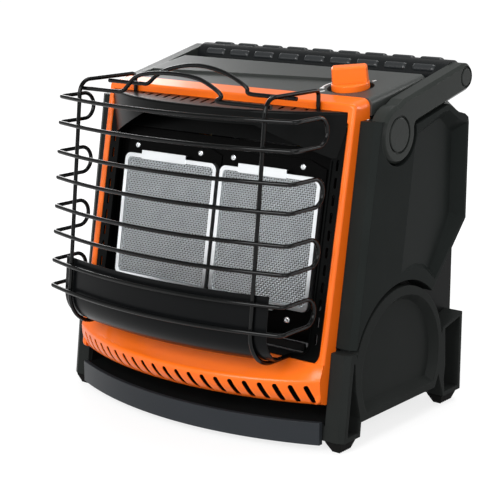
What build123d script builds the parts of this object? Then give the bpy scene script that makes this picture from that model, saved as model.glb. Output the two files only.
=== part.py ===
from build123d import *
import os
from math import asin, cos, degrees, radians, sin, sqrt, tan

# Portable twin-burner propane heater. Millimetres, +Z up, front towards -Y.
# Everything is drawn about one datum near the handle's pivot, and moved along Y at the end so
# that the origin lies under the middle of the whole heater, on the surface it stands on.

# ---- overall -----------------------------------------------------------------------------
HALF_WIDTH = 200.0        # outer faces of the side covers and legs
GAP = 0.3                 # seating gap between neighbouring pieces
FAR = 400.0               # length of a cutting body, past every part
COVER_T = 24.0            # thickness of the side covers
HOUSING_X = HALF_WIDTH - COVER_T
HOUSING_WALL = 1.5
HOUSING_BACK = 138.0
FACE_TILT = 10.93         # the front leans back by this many degrees
FACE_Y = -129.4           # front plane at height FACE_Z
FACE_Z = 32.2

# ---- base --------------------------------------------------------------------------------
FOOT_H = 12.5
FOOT_TAPER = 4.0
FOOT_TEETH = 6
FOOT_TOOTH = 1.6
FOOT_INSET = 3.0
FOOT_SPLAY_IN = 8.0       # how far the inner flank draws in at the sole
FOOT_SPLAY_OUT = 4.5
LEG_T = 28.0
LEG_X = HALF_WIDTH - LEG_T
LEG_FRONT = -115.5
LEG_LEAN = 12.0           # the front face leans back by this much up to the leg's top
LEG_REAR = 126.0
LEG_TOP = 107.0
LEG_BEVEL_X = 7.0
LEG_BEVEL_Y = 4.5
FRONT_LEG_W = 34.0        # along Y at the sole
FRONT_LEG_TOP_W = 12.0
FRONT_LEG_KNEE_Z = 60.0
REAR_LEG_W = 37.5
REAR_LEG_DROP = 10.0      # fall of the rear leg's top towards the arch
REAR_LEG_KNEE_Z = 50.0
BELLY_Z = 28.5
ARCH_Y = -5.8
ARCH_Z = 75.0
ARCH_R = 88.0
ARCH_RECESS_R = 77.5
ARCH_RECESS_Y = -2.5
ARCH_RECESS_FLOOR = 36.5
ARCH_RECESS_DEPTH = 9.0
ARCH_RECESS_TAPER = 38.0
ARCH_PANEL = 3.0
LEG_WALL = 4.0
LEG_FLANGE = 9.5          # thickness of the leg's front flange
LEG_RIM = 5.0             # and of the rims round its rear pocket
BAR_BOTTOM = 8.5
BAR_H = 25.0
BAR_FRONT = -160.0        # outer face of the bowed bar at the middle
BAR_END = -123.0          # outer face of the bowed bar at the legs
BAR_T = 5.0
BAR_LAP = 3.0             # the bar's ends stand before the legs by this much
TONGUE_H = 12.0
TONGUE_L = 26.0
TRAY_Z = 29.0
TRAY_T = 1.5
TRAY_HOLE_R = 21.0        # drain and vent hole under each fuel cylinder
SADDLE_H = 5.0
SADDLE_T = 3.0

# ---- handle ------------------------------------------------------------------------------
PIVOT_Y = -17.3
PIVOT_Z = 331.0
BOSS_R = 31.0
BOSS_TOE_X = 5.58         # the bar's upper edge runs into the boss at this point
BOSS_TOE_H = 30.38
SOCKET_CLEAR = 2.5
ARM_T = 18.2
ARM_W = 31.0
ARM_ANGLE = 12.9
ARM_LIFT = 2.4            # lower edge of the arm above the pivot
ARM_LENGTH = 142.3        # from the pivot to the grip, along the arm
ARM_SHOULDER = 18.0       # where the bar reaches its full width
ARM_BEVEL = 3.5
ARM_NOTCH_R = 6.0
CAP_R = 18.3
CAP_MOAT = 2.2            # sunk ring round each cap
CAP_DEPTH = 2.0
CAP_EDGE_R = 1.2
PIVOT_SHAFT_R = 6.0
SHAFT_CLEAR = 0.08
NUT_R = 11.0
NUT_T = 6.0
GRIP_R = 17.8
GRIP_Y = (PIVOT_Y + ARM_LENGTH * cos(radians(ARM_ANGLE))
          - (ARM_LIFT + ARM_W / 2) * sin(radians(ARM_ANGLE)))
GRIP_Z = (PIVOT_Z + ARM_LENGTH * sin(radians(ARM_ANGLE))
          + (ARM_LIFT + ARM_W / 2) * cos(radians(ARM_ANGLE)))
END_CAP_R = 10.0
GRIP_SPIGOT_R = 8.0
SPIGOT_L = 9.0
PAD_COUNT = 9
PAD_MARGIN = 19.8         # bare length of the grip, both ends together
PAD_PITCH = (2 * (HALF_WIDTH - ARM_T) - PAD_MARGIN) / PAD_COUNT
PAD_L = 29.0
PAD_W = 9.0
PAD_R = 2.5
PAD_PROUD = 2.2
PAD_FRONT_ANGLE = 149.5   # direction of the front row of pads, from +Y towards +Z
PAD_TOP_ANGLE = 82.0

# ---- side covers -------------------------------------------------------------------------
COVER_BOTTOM = 110.5
COVER_FRONT_BOTTOM = -94.8
COVER_FRONT_TOP = -55.8
COVER_TOP = 347.7
COVER_BEVEL_X = 7.0
COVER_BEVEL_Y = 4.5
COVER_PEAK_Y = 82.0
COVER_SHOULDER = 21.0     # from the peak back to the shoulder below it
COVER_REAR_TOP = GRIP_Z - ARM_W / 2 - 27.7
COVER_REAR_BOTTOM = 218.5
COVER_HEEL_Y = 58.0       # where the rear slope meets the arch
COVER_HEEL_Z = 146.0
COVER_ARCH_GAP = 5.0
COVER_SEAT = 2.5          # clearance under the handle's arm
COVER_WALL = 4.0
POCKET_DEPTH = 12.0
POCKET_TAPER = 48.0
POCKET_RIM = 4.5
POCKET_FLOOR_Z = 33.0     # lower edge of the pocket above the heel
RIDGE_Y = PIVOT_Y + 26.0  # the pocket's floor falls away from here

# ---- top cover ---------------------------------------------------------------------------
TOP_TILT = 9.0
TOP_DATUM_Y = 66.0        # a point of the sloping top
TOP_DATUM_Z = 386.0
TOP_REAR_Y = GRIP_Y - 51.4
TOP_FRONT_Y = -38.0
TOP_T = 6.0
TOP_LAP = 1.6             # the cover's skirt stands out past the housing
TOP_X = HOUSING_X + TOP_LAP
TOP_SKIRT = 12.0
TOP_SKIRT_T = 3.1
TOP_EDGE_R = 6.5
TOP_SLOPE_Z = 342.0       # height of the rear slope at the housing's back
KNOB_X = HOUSING_X - 49.0
KNOB_Y = -4.0
LABEL_DEPTH = 3.0
LABEL_X0 = 10.0 - HOUSING_X
LABEL_X1 = KNOB_X - 31.0
LABEL_REAR_L = TOP_REAR_Y - 65.0    # rear edge of the recess at its left end
LABEL_REAR_R = TOP_REAR_Y - 42.0
LABEL_FRONT = TOP_FRONT_Y + 5.0

# ---- knob and valve ----------------------------------------------------------------------
WELL_R = 26.0             # sunk well that the knob stands in
WELL_DEPTH = 5.5
WELL_FLOOR = 2.0
KNOB_R = 21.0
KNOB_SKIRT_H = 8.0
KNOB_SKIRT_BEVEL = 1.5
KNOB_H = 25.5
KNOB_GRIP_T = 17.0
KNOB_GRIP_INSET = 0.6
KNOB_GRIP_TAPER = 2.0
KNOB_EDGE_R = 2.5
KNOB_TURN = 32.0          # direction of the grip at rest
KNOB_FLOAT = 4.0          # gap under the skirt, more than the push travel
KNOB_SINK = WELL_DEPTH - KNOB_FLOAT
KNOB_PUSH = 3.0
KNOB_BORE = 15.0
SLEEVE_DEPTH = 10.0       # how deep the sleeve stands in the valve at rest
SLEEVE_ROOM = 3.0         # free depth under the sleeve when it is pushed in
STEM_R = 4.0
SLEEVE_R = 8.0
SLEEVE_HOLE = 1.5         # the sleeve's clearance through the cover
FIT = 0.06
VALVE_R = 15.0
VALVE_H = 26.0
VALVE_DROP = 15.0         # depth of the valve's top face below the cover
VALVE_NECK = 4.0
VALVE_PORT = 8.0
DIAL_R = 33.0             # outer radius of the scale's long mark
DIAL_W = 1.8
DIAL_H = 0.5
DIAL_START = 95.0         # the long mark runs from here through DIAL_SWEEP degrees
DIAL_SWEEP = 110.0
DIAL_TICK_L = 5.0
DIAL_TICKS = (70.0, 95.0, 150.0, 205.0, 230.0)

# ---- bezel -------------------------------------------------------------------------------
BEZEL_X = HOUSING_X - GAP
BEZEL_BAR_W = 7.9
BEZEL_IN_X = BEZEL_X - BEZEL_BAR_W
BEZEL_T = 20.0
BEZEL_R = 3.6
BEZEL_SHEET = 2.0         # wall of the hollow bars
BEZEL_BOTTOM = 54.0
BEZEL_OUTER_R = 6.0
BEZEL_OPEN_BOTTOM = 93.0
BEZEL_OPEN_R = 15.0
BEZEL_TOP = 369.8
BEZEL_TOP_FALL = 3.8      # the top bar's upper face falls by this much to the front
BEZEL_TOP_FRONT = -66.0
BEZEL_TOP_EDGE_R = 2.5
BEZEL_BAR_BOTTOM = 345.0
BAR_LIFT = 3.0            # the top bar's underside above the side bars' window
BEZEL_CORNER_R = 9.0
LIP_TOP = 96.0
LIP_CREASE = 79.5
LIP_BOTTOM = 51.5
LIP_JOIN_Z = 88.0         # above this the lip ends just behind the front plane
LIP_FRONT = -174.0
LIP_END = -123.0
LIP_CURL = 24.0           # depth of the belly that curls back under the crease
LIP_CURL_END = 11.0       # and its depth at the ends
LIP_ROLL = 5.0            # rounding between apron and belly
LIP_WALL = 1.3
LIP_X = BEZEL_X
LIP_BACK = LIP_END + LIP_CURL + 2.0
LIP_SECTIONS = 7
VENT_COUNT = 21
VENT_MARGIN = 12.4
VENT_PITCH = (2 * LIP_X - VENT_MARGIN) / (VENT_COUNT - 1)
VENT_SHIFT = 5.5          # the row stands to the right by this much
VENT_W = 5.6
VENT_Z = 64.6
VENT_RISE = 7.7           # half height between the centres of a vent's round ends
VENT_LEAN = 3.9           # and how far each end stands to one side

# ---- inner bezel, hood, firebox ----------------------------------------------------------
INNER_SET = 2.5           # inner bezel behind the front plane
INNER_T = 2.0
COLLAR_PROUD = 1.2
OPEN_X = BEZEL_IN_X - 15.8
OPEN_BOTTOM = 104.0
OPEN_TOP = 318.0
OPEN_R = 10.0
SLOT_X = OPEN_X + 8.5
SLOT_W = 3.2
SLOT_L = 11.5
SLOT_PITCH = 18.5
SLOT_COUNT = 11
SLOT_TOP = 16.0           # highest slot below the top of the opening
HOOD_TOP = 357.5
HOOD_T = 1.8
HOOD_X = BEZEL_IN_X - 1.0
HOOD_FRONT = -122.0
HOOD_END = -68.0
HOOD_POWER = 2.3          # how full the hood's curve is; a parabola has 2
HOOD_EDGE_R = 2.6
HOOD_LOW = 341.5          # lower edge of the visor at the middle
HOOD_CORNER = 88.0        # from the hood's ends to where the visor's rise begins
HOOD_FLAT_X = HOOD_X - HOOD_CORNER
HOOD_SIDE_LOW = 309.0
HOOD_SIDE_IN = 12.0       # width of the visor's level ends
HOOD_SLOTS = 17
HOOD_SLOT_PITCH = (HOOD_X - 50.0) / 8
HOOD_SLOT_SHIFT = 4.0
HOOD_SLOT_W = 3.6
HOOD_SLOT_L = 34.0
HOOD_SLOT_TURN = 24.0
HOOD_SLOT_BACK = 3.5      # from the hood's rear edge to the slots
HOOD_SLOT_FRONT = 16.0    # from the hood's rim to the slots
FIREBOX_T = 1.0
FIREBOX_RIM = 2.5
SHELF_Z = 104.5
SHELF_H = 8.5
SHELF_T = 2.0
SHELF_ROLL = 3.0
SHELF_X = OPEN_X - 5.5
SHELF_FRONT = -111.0

# ---- burners -----------------------------------------------------------------------------
BURNER_TILT = 9.5
BURNER_Y = -76.0          # face of the window frames at height BURNER_Z
BURNER_Z = 290.0
BURNER_X = (OPEN_X - 8.0) / 2       # burner centres left and right of the middle
FRAME_W = 2 * BURNER_X - 5.5
FRAME_TOP = 286.0
FRAME_BOTTOM = 143.5
FRAME_PROUD = 6.0
FRAME_RIM = 4.6
FRAME_R = 8.0
FRAME_IN_R = 5.0
MESH_T = 0.8
MESH_SET = 1.2
FLANGE_T = 1.5
FLANGE_W = 2 * BURNER_X - 1.0
FLANGE_TOP = 303.5
FLANGE_BOTTOM = 119.0
FLANGE_CROP_X = 22.0
FLANGE_CROP_Z = 8.0
TILE_T = 13.0
TILE_GAP = 3.0
PLENUM_T = 30.0
PLENUM_R = 7.0
PLENUM_WALL = 1.2
PLENUM_RIM = 4.5
CLIP_MARGIN = 71.5        # bare width of the frame's edge, both sides of a clip together
CLIP_W = FRAME_W - CLIP_MARGIN
CLIP_H = 10.0
CLIP_LAP = 5.5            # how far a clip reaches over the frame
CLIP_T = 1.0
CLIP_FOLD = 1.5
CLIP_SHIFT = -9.5
LOWER_CLIP_H = 7.0
LOWER_CLIP_LAP = 2.5
SCREW_R = 3.6
SCREW_HEAD = 2.2
SCREW_DOME_R = 1.4
SCREW_SHANK_R = 1.6
SCREW_SHANK_L = 1.3
SCREW_LEFT = 16.5 - BURNER_X        # screw places from each burner's centre
SCREW_RIGHT = BURNER_X - 31.2
SCREW_TOP = 295.5
SCREW_BOTTOM = 131.5

# ---- wire guard --------------------------------------------------------------------------
WIRE_R = 2.3
GUARD_X = BEZEL_IN_X - 0.8
GUARD_Y = -155.2
GUARD_Z = 356.8
GUARD_LEAN = 6.05
GUARD_BOW = 27.0
RUNG_PITCH = 62.5         # from one closed loop to the next
RUNG_PAIR = 29.4          # between the two wires of one loop
RUNG_LOOPS = 4
LOOP_BACK = 38.0          # from the front corner to the loop's end bend
CORNER_R = 7.0
UPRIGHT_X = GUARD_X - 36.0
HOOK_Z = 378.0
HOOK_BEND_R = 16.0
HOOK_TIP_R = 6.0
HOOK_BACK_Y = -69.0
HOOK_TIP_Z = 352.5
ARCH_WIRE_X = 79.0
ARCH_FRONT_Y = -153.0
ARCH_REAR_Y = -110.0
ARCH_FRONT_Z = 368.5
ARCH_FRONT_RISE = 25.0
ARCH_REAR_RISE = 25.5
PLATE_X = UPRIGHT_X + 15.0
PLATE_T = 1.2
PLATE_TOP = 178.0
PLATE_BOTTOM = 99.0
PLATE_END = 42.0          # how far the curled foot reaches back from the plate
PLATE_CURL_R = 34.0

# ---- gas train and bays ------------------------------------------------------------------
BAY_X = HOUSING_X / 2 + 4.0
BAY_Y = 66.0
BAY_R = 56.0              # half width of each bay's opening
BAY_BOTTOM = 45.0
BAY_TOP = 262.0
BACK_SLOTS = 4
BACK_SLOT_PITCH = 13.0
BACK_SLOT_L = 84.0
BACK_SLOT_W = 5.0
BOTTLE_R = 50.5
INLET_R = 12.7            # 1-inch thread of a disposable cylinder
INLET_DEPTH = 16.0
INLET_WALL = 4.5
INLET_FLOOR = 3.0
REGULATOR_R = 27.0
REGULATOR_H = 26.0
REGULATOR_STEP = 4.0      # the clamped rim stands out past the bowl
REGULATOR_RIM_H = 6.0
BRIDGE_Z = 288.0
BRIDGE_T = 1.5
BRIDGE_FOLD = 10.0
PIPE_R = 4.0
PIPE_BEND = 8.0
PIPE_Z = 340.0            # feed pipe from the valve
FEED_X = 20.0             # where the feed pipe turns down to the cross pipe
MANIFOLD_Z = 324.0        # cross pipe over the two injectors
VENTURI_Y = -14.0
VENTURI_R = 8.0
VENTURI_WALL = 1.5
VENTURI_BEND = 12.0
VENTURI_LOW = 165.0
VENTURI_TOP = 298.0
INJECTOR_R = 8.0
INJECTOR_H = 14.0
SUPPLY_Z = 304.0
SHIELD_Y = 6.0
SHIELD_TOP = 296.0
SHIELD_T = 0.8
DIVIDER_X = BAY_X - 62.0
DIVIDER_T = 1.0
PILOT_FOOT_W = 28.0
PILOT_FOOT_D = 6.0
PILOT_FOOT_T = 2.0
PILOT_R = 2.8
PILOT_H = 14.0
PILOT_HEAD_W = 9.0
PROBES = ((10.0, 1.6, 20.0), (-10.0, 1.2, 22.0))     # place, radius and height of each rod
SWITCH_W = 32.0
SWITCH_D = 28.0
SWITCH_H = 20.0
SWITCH_Y = -66.0

SIN_F = sin(radians(FACE_TILT))
COS_F = cos(radians(FACE_TILT))
NEAR = 0.6                # how close an edge lies to the place it is looked for


def face_y(z):
    """Y of the leaning front plane at height z."""
    return FACE_Y + (z - FACE_Z) * tan(radians(FACE_TILT))


def burner_y(z):
    """Y of the burners' front plane at height z."""
    return BURNER_Y + (z - BURNER_Z) * tan(radians(BURNER_TILT))


def top_z(y):
    """Height of the sloping top cover at depth y."""
    return TOP_DATUM_Z + (y - TOP_DATUM_Y) * tan(radians(TOP_TILT))


def cover_y(z):
    """Y of the side cover's front face at height z."""
    share = (z - COVER_BOTTOM) / (COVER_TOP - COVER_BOTTOM)
    return COVER_FRONT_BOTTOM + share * (COVER_FRONT_TOP - COVER_FRONT_BOTTOM)


def side_plate(points, x0, x1):
    """Outline in Y and Z, carried along X from x0 to x1."""
    return extrude(Plane.YZ.offset(x0) * Polygon(*points, align=None), x1 - x0, dir=(1, 0, 0))


def side_disc(y, z, r, x0, x1):
    """Cylinder along X."""
    return extrude(Plane.YZ.offset(x0) * Pos(y, z) * Circle(r), x1 - x0)


def box(x0, x1, y0, y1, z0, z1):
    return Pos((x0 + x1) / 2, (y0 + y1) / 2, (z0 + z1) / 2) * Box(x1 - x0, y1 - y0, z1 - z0)


def front_plane(offset=0.0, z=FACE_Z):
    """Plane of the leaning front. Local X is X, local Y runs up the slope."""
    normal = Vector(0, -COS_F, SIN_F)
    return Plane(Vector(0, face_y(z), z) + normal * offset, x_dir=(1, 0, 0), z_dir=normal)


def slope(z):
    """Distance up the front plane of height z."""
    return (z - FACE_Z) / COS_F


def burner_plane(offset=0.0):
    t = radians(BURNER_TILT)
    normal = Vector(0, -cos(t), sin(t))
    return Plane(Vector(0, BURNER_Y, BURNER_Z) + normal * offset, x_dir=(1, 0, 0), z_dir=normal)


def burner_s(z):
    return (z - BURNER_Z) / cos(radians(BURNER_TILT))


def arc_radius(half, rise):
    return (half * half + rise * rise) / (2 * rise)


def rounded(width, height, radius):
    return RectangleRounded(width, height, radius)


def mirrored(part):
    return mirror(part, about=Plane.YZ)


# ------------------------------------------------------------------------------------ base
def leg_outline():
    """Side outlines of the front and the rear leg."""
    front_top = LEG_FRONT + LEG_LEAN
    knee = LEG_FRONT + FRONT_LEG_W
    front = [(LEG_FRONT, FOOT_H), (front_top, LEG_TOP), (front_top + FRONT_LEG_TOP_W, LEG_TOP),
             (knee + LEG_RIM, FRONT_LEG_KNEE_Z), (knee, FOOT_H)]
    rear_inner = LEG_REAR - REAR_LEG_W
    rear = [(rear_inner, FOOT_H), (LEG_REAR, FOOT_H), (LEG_REAR, LEG_TOP),
            (rear_inner - LEG_RIM, LEG_TOP - REAR_LEG_DROP),
            (rear_inner - 3 * LEG_RIM, REAR_LEG_KNEE_Z)]
    return front, rear


def leg_front_y(z):
    """Y of the front leg's leaning face at height z."""
    return LEG_FRONT + LEG_LEAN * (z - FOOT_H) / (LEG_TOP - FOOT_H)


def leg_pockets():
    """Side outlines of the pockets that leave each leg as flange, web and sole."""
    low = FOOT_H + LEG_RIM
    high = LEG_TOP - 2 * LEG_RIM
    heel = LEG_FRONT + FRONT_LEG_W - LEG_RIM / 2
    front = [(leg_front_y(low) + LEG_FLANGE, low), (leg_front_y(high) + LEG_FLANGE, high),
             (leg_front_y(high) + LEG_FLANGE + LEG_RIM / 2, high),
             (leg_front_y(high) + LEG_FLANGE + LEG_RIM, FRONT_LEG_KNEE_Z + LEG_RIM),
             (heel + LEG_RIM / 2, BELLY_Z + LEG_RIM), (heel, low)]
    inner = LEG_REAR - REAR_LEG_W
    outer = LEG_REAR - LEG_RIM
    rear = [(inner + LEG_RIM / 2, low), (outer, low), (outer, LEG_TOP - LEG_RIM),
            (inner, high - LEG_RIM / 2), (inner + LEG_RIM / 2, REAR_LEG_KNEE_Z), (inner, BELLY_Z + LEG_RIM)]
    return front, rear


def base_side():
    """Moulded side frame: two flanged legs joined by an arch-shaped panel."""
    front, rear = leg_outline()
    disc = side_disc(ARCH_Y, ARCH_Z, ARCH_R, LEG_X, HALF_WIDTH)
    belly = box(0, FAR, -FAR, FAR, -FAR, BELLY_Z)
    body = (disc - belly) + side_plate(front, LEG_X, HALF_WIDTH)
    body = body + side_plate(rear, LEG_X, HALF_WIDTH)
    # recess of the arch panel, with sloping walls, and the hollow behind it
    recess = Plane.YZ.offset(HALF_WIDTH) * Pos(ARCH_RECESS_Y, ARCH_Z) * Circle(ARCH_RECESS_R)
    above = Plane.YZ.offset(HALF_WIDTH) * Pos(0, ARCH_RECESS_FLOOR + FAR / 2) * Rectangle(FAR, FAR)
    body = body - extrude(recess & above, -ARCH_RECESS_DEPTH, taper=ARCH_RECESS_TAPER)
    back_x = HALF_WIDTH - ARCH_RECESS_DEPTH - ARCH_PANEL
    hollow = side_disc(ARCH_Y, ARCH_Z, ARCH_R - ARCH_PANEL, LEG_X - GAP, back_x)
    body = body - (hollow - box(0, FAR, -FAR, FAR, -FAR, BELLY_Z + ARCH_PANEL))
    for pocket in leg_pockets():
        body = body - side_plate(pocket, LEG_X + LEG_WALL, FAR)
    # the housing stands on a ledge inside the legs
    body = body - box(0, HOUSING_X + GAP, -FAR, FAR, TRAY_Z - GAP, FAR)
    # bevel of the front flange, along the leaning face
    sections = []
    for z in (0.0, LEG_TOP + FOOT_H):
        y = leg_front_y(z) - GAP
        outline = Polygon((HALF_WIDTH - LEG_BEVEL_X, y), (HALF_WIDTH + GAP, y),
                          (HALF_WIDTH + GAP, y + LEG_BEVEL_Y + 2 * GAP), align=None)
        sections.append((Plane.XY.offset(z) * outline).face())
    return body - loft(sections)


def bar_arc(offset=0.0):
    """Radius and centre of the bowed bar's faces, moved in by offset."""
    radius = arc_radius(LEG_X, BAR_END - BAR_FRONT)
    return radius - offset, BAR_FRONT + radius


def front_crossbar():
    """Bowed band between the front legs, with a tongue beside each leg."""
    outer, cy = bar_arc()
    inner, cy = bar_arc(BAR_T)
    ring = Pos(0, cy) * (Circle(outer) - Circle(inner))
    limit = Pos(0, -FAR / 2) * Rectangle(2 * (LEG_X + BAR_LAP), FAR)
    band = Pos(0, 0, BAR_BOTTOM) * extrude(ring & limit, BAR_H)
    x1 = LEG_X - GAP
    tongue = box(x1 - BAR_T, x1, BAR_END, BAR_END + TONGUE_L, TRAY_Z - TONGUE_H, TRAY_Z - GAP)
    return band + tongue + mirrored(tongue)


def base_tray():
    """Floor of the heater, bowed like the bar before it, with a hole under each cylinder."""
    inner, cy = bar_arc(BAR_T + GAP)
    disc = Pos(0, cy) * Circle(inner)
    area = Pos(0, HOUSING_BACK - FAR / 2) * Rectangle(2 * HOUSING_X, FAR)
    sheet = disc & area
    for side in (-1, 1):
        sheet = sheet - Pos(side * BAY_X, BAY_Y) * Circle(TRAY_HOLE_R)
    return Pos(0, 0, TRAY_Z) * extrude(sheet, TRAY_T)


def cylinder_saddles():
    """Rings on the tray that the fuel cylinders stand in."""
    rings = []
    for side in (-1, 1):
        ring = Circle(BOTTLE_R + SADDLE_T) - Circle(BOTTLE_R)
        rings.append(Pos(side * BAY_X, BAY_Y, TRAY_Z + TRAY_T) * extrude(ring, SADDLE_H))
    return Compound(children=rings)


def foot_outline(y0, y1):
    """Side outline of one foot: tapered flanks over a saw-tooth sole."""
    flank_z = FOOT_H / 4
    step = (y1 - y0 - 2 * FOOT_TAPER) / FOOT_TEETH
    sole = [(y0, FOOT_H), (y0, FOOT_H - flank_z), (y0 + FOOT_TAPER, 0)]
    for k in range(FOOT_TEETH):
        start = y0 + FOOT_TAPER + k * step
        sole += [(start + step / 3, 0), (start + step / 2, FOOT_TOOTH)]
        if k < FOOT_TEETH - 1:
            sole.append((start + step, 0))
    return sole + [(y1 - FOOT_TAPER, 0), (y1, FOOT_H - flank_z), (y1, FOOT_H)]


def feet():
    """Four tapered rubber feet with saw-tooth soles."""
    front = foot_outline(LEG_FRONT + FOOT_INSET, LEG_FRONT + FRONT_LEG_W - FOOT_INSET)
    rear = foot_outline(LEG_REAR - REAR_LEG_W + FOOT_INSET, LEG_REAR - FOOT_INSET)
    x0, x1 = LEG_X + FOOT_INSET, HALF_WIDTH - FOOT_INSET
    flanks = Plane.XZ * Polygon((x0, FOOT_H), (x1, FOOT_H), (x1 - FOOT_SPLAY_OUT, 0),
                                (x0 + FOOT_SPLAY_IN, 0), align=None)
    wedge = extrude(flanks, FAR, both=True)
    pads = []
    for sole in (front, rear):
        foot = side_plate(sole, x0, x1) & wedge
        pads += [foot, mirrored(foot)]
    return Compound(children=pads)


# ------------------------------------------------------------------------------ side covers
def arm_edge(y):
    """Height of the handle arm's lower edge at rest."""
    t = radians(ARM_ANGLE)
    return PIVOT_Z + ARM_LIFT / cos(t) + (y - PIVOT_Y) * tan(t)


def cover_hollow():
    """Space behind the side cover's outer wall, open towards the housing."""
    wall = COVER_WALL
    seat = COVER_SEAT + wall
    top_in = PIVOT_Y + BOSS_R
    outline = [
        (cover_y(COVER_BOTTOM) + wall, COVER_BOTTOM + wall), (cover_y(COVER_TOP) + wall, COVER_TOP - wall),
        (PIVOT_Y, COVER_TOP - wall), (top_in, arm_edge(top_in) - seat),
        (COVER_PEAK_Y, arm_edge(COVER_PEAK_Y) - seat), (LEG_REAR - 3 * wall, COVER_REAR_TOP - wall),
        (LEG_REAR - wall, COVER_REAR_TOP - 3 * wall), (LEG_REAR - wall, COVER_REAR_BOTTOM + wall),
        (COVER_HEEL_Y, COVER_HEEL_Z + 2 * wall), (ARCH_Y, ARCH_Z)]
    hollow = side_plate(outline, HOUSING_X - GAP, HALF_WIDTH - POCKET_DEPTH - wall)
    hollow = hollow - side_disc(PIVOT_Y, PIVOT_Z, BOSS_R + SOCKET_CLEAR + wall, 0, FAR)
    return hollow - side_disc(ARCH_Y, ARCH_Z, ARCH_R + 2 * COVER_ARCH_GAP + wall, 0, FAR)


def cover_bevel():
    """Cutter for the bevel between the cover's narrow front face and its side."""
    sections = []
    for z in (0, FAR):
        y = cover_y(z) - GAP
        outline = Polygon((HALF_WIDTH - COVER_BEVEL_X, y), (HALF_WIDTH + GAP, y),
                          (HALF_WIDTH + GAP, y + COVER_BEVEL_Y + 2 * GAP), align=None)
        sections.append((Plane.XY.offset(z) * outline).face())
    return loft(sections)


def cover_pocket():
    """Cutter for the pocket, whose floor falls away from a shallow ridge towards the rear."""
    rim = POCKET_RIM
    seat = COVER_SEAT + rim
    shelf_z = COVER_HEEL_Z + POCKET_FLOOR_Z
    outline = [(PIVOT_Y + 32, PIVOT_Z - 13), (PIVOT_Y + 38, PIVOT_Z - 1),
               (COVER_PEAK_Y - 13, arm_edge(COVER_PEAK_Y - 13) - seat),
               (COVER_PEAK_Y, arm_edge(COVER_PEAK_Y) - seat - 2),
               (COVER_PEAK_Y + COVER_SHOULDER, COVER_REAR_TOP - 2),
               (LEG_REAR - rim, COVER_REAR_TOP - 8), (LEG_REAR - rim, COVER_REAR_BOTTOM + 2),
               (COVER_HEEL_Y + 4, COVER_HEEL_Z + 12), (COVER_HEEL_Y - 16, shelf_z - 6),
               (COVER_HEEL_Y - 36, shelf_z + 1), (PIVOT_Y + 10, shelf_z)]
    cutter = extrude(Plane.YZ.offset(HALF_WIDTH) * Polygon(*outline[::-1], align=None),
                     -POCKET_DEPTH, taper=POCKET_TAPER)
    low_x = HALF_WIDTH - POCKET_DEPTH
    floor = Polygon((HALF_WIDTH, RIDGE_Y - 20), (low_x, LEG_REAR - 16), (low_x, FAR),
                    (HALF_WIDTH + rim, FAR), (HALF_WIDTH + rim, RIDGE_Y - 20), align=None)
    return cutter & extrude(Plane.XY * floor, FAR, dir=(0, 0, 1))


def side_cover():
    """Moulded side cover with the handle's socket and a tapering pocket behind a ridge."""
    top_in = PIVOT_Y + BOSS_R
    outline = [
        (COVER_FRONT_BOTTOM, COVER_BOTTOM), (COVER_FRONT_TOP, COVER_TOP),
        (PIVOT_Y, COVER_TOP), (top_in, arm_edge(top_in) - COVER_SEAT),
        (COVER_PEAK_Y, arm_edge(COVER_PEAK_Y) - COVER_SEAT),
        (COVER_PEAK_Y + COVER_SHOULDER, COVER_REAR_TOP + 6), (LEG_REAR - 9, COVER_REAR_TOP + 2.5),
        (LEG_REAR - 1.5, COVER_REAR_TOP - 2), (LEG_REAR, COVER_REAR_TOP - 8),
        (LEG_REAR, COVER_REAR_BOTTOM), (COVER_HEEL_Y, COVER_HEEL_Z),
        (ARCH_Y, ARCH_Z), (COVER_FRONT_BOTTOM + 8, COVER_BOTTOM)]
    body = side_plate(outline, HOUSING_X, HALF_WIDTH)
    under_top = top_outline(0) + top_outline(TOP_T + TOP_SKIRT + GAP)[::-1]
    body = body - side_plate(under_top, 0, TOP_X + GAP)
    body = body - side_disc(ARCH_Y + 2, ARCH_Z + 1, ARCH_R + COVER_ARCH_GAP, 0, FAR)
    body = body - cover_bevel()
    # socket that the arm's boss turns in, open upwards
    floor_x = HALF_WIDTH - ARM_T - 1.0
    body = body - side_disc(PIVOT_Y, PIVOT_Z, BOSS_R + SOCKET_CLEAR, floor_x, FAR)
    body = body - side_disc(PIVOT_Y, PIVOT_Z, PIVOT_SHAFT_R + SHAFT_CLEAR, 0, FAR)
    return body - cover_pocket() - cover_hollow()


# --------------------------------------------------------------------------------- housing
def housing_side():
    """Side wall of the housing, from the tray up to the top cover's skirt."""
    z0 = TRAY_Z + TRAY_T
    set_back = (BEZEL_T + GAP) / COS_F
    under = TOP_SKIRT + TOP_T + GAP
    top = BEZEL_BAR_BOTTOM + BAR_LIFT - 1
    points = [(face_y(z0) + set_back, z0), (face_y(top) + set_back, top),
              (TOP_FRONT_Y, top), (TOP_FRONT_Y, top_z(TOP_FRONT_Y) - under),
              (TOP_REAR_Y, top_z(TOP_REAR_Y) - under), (HOUSING_BACK, TOP_SLOPE_Z - under),
              (HOUSING_BACK, z0)]
    plate = side_plate(points, HOUSING_X - HOUSING_WALL, HOUSING_X)
    return plate - side_disc(PIVOT_Y, PIVOT_Z, PIVOT_SHAFT_R + SHAFT_CLEAR, 0, FAR)


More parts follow.
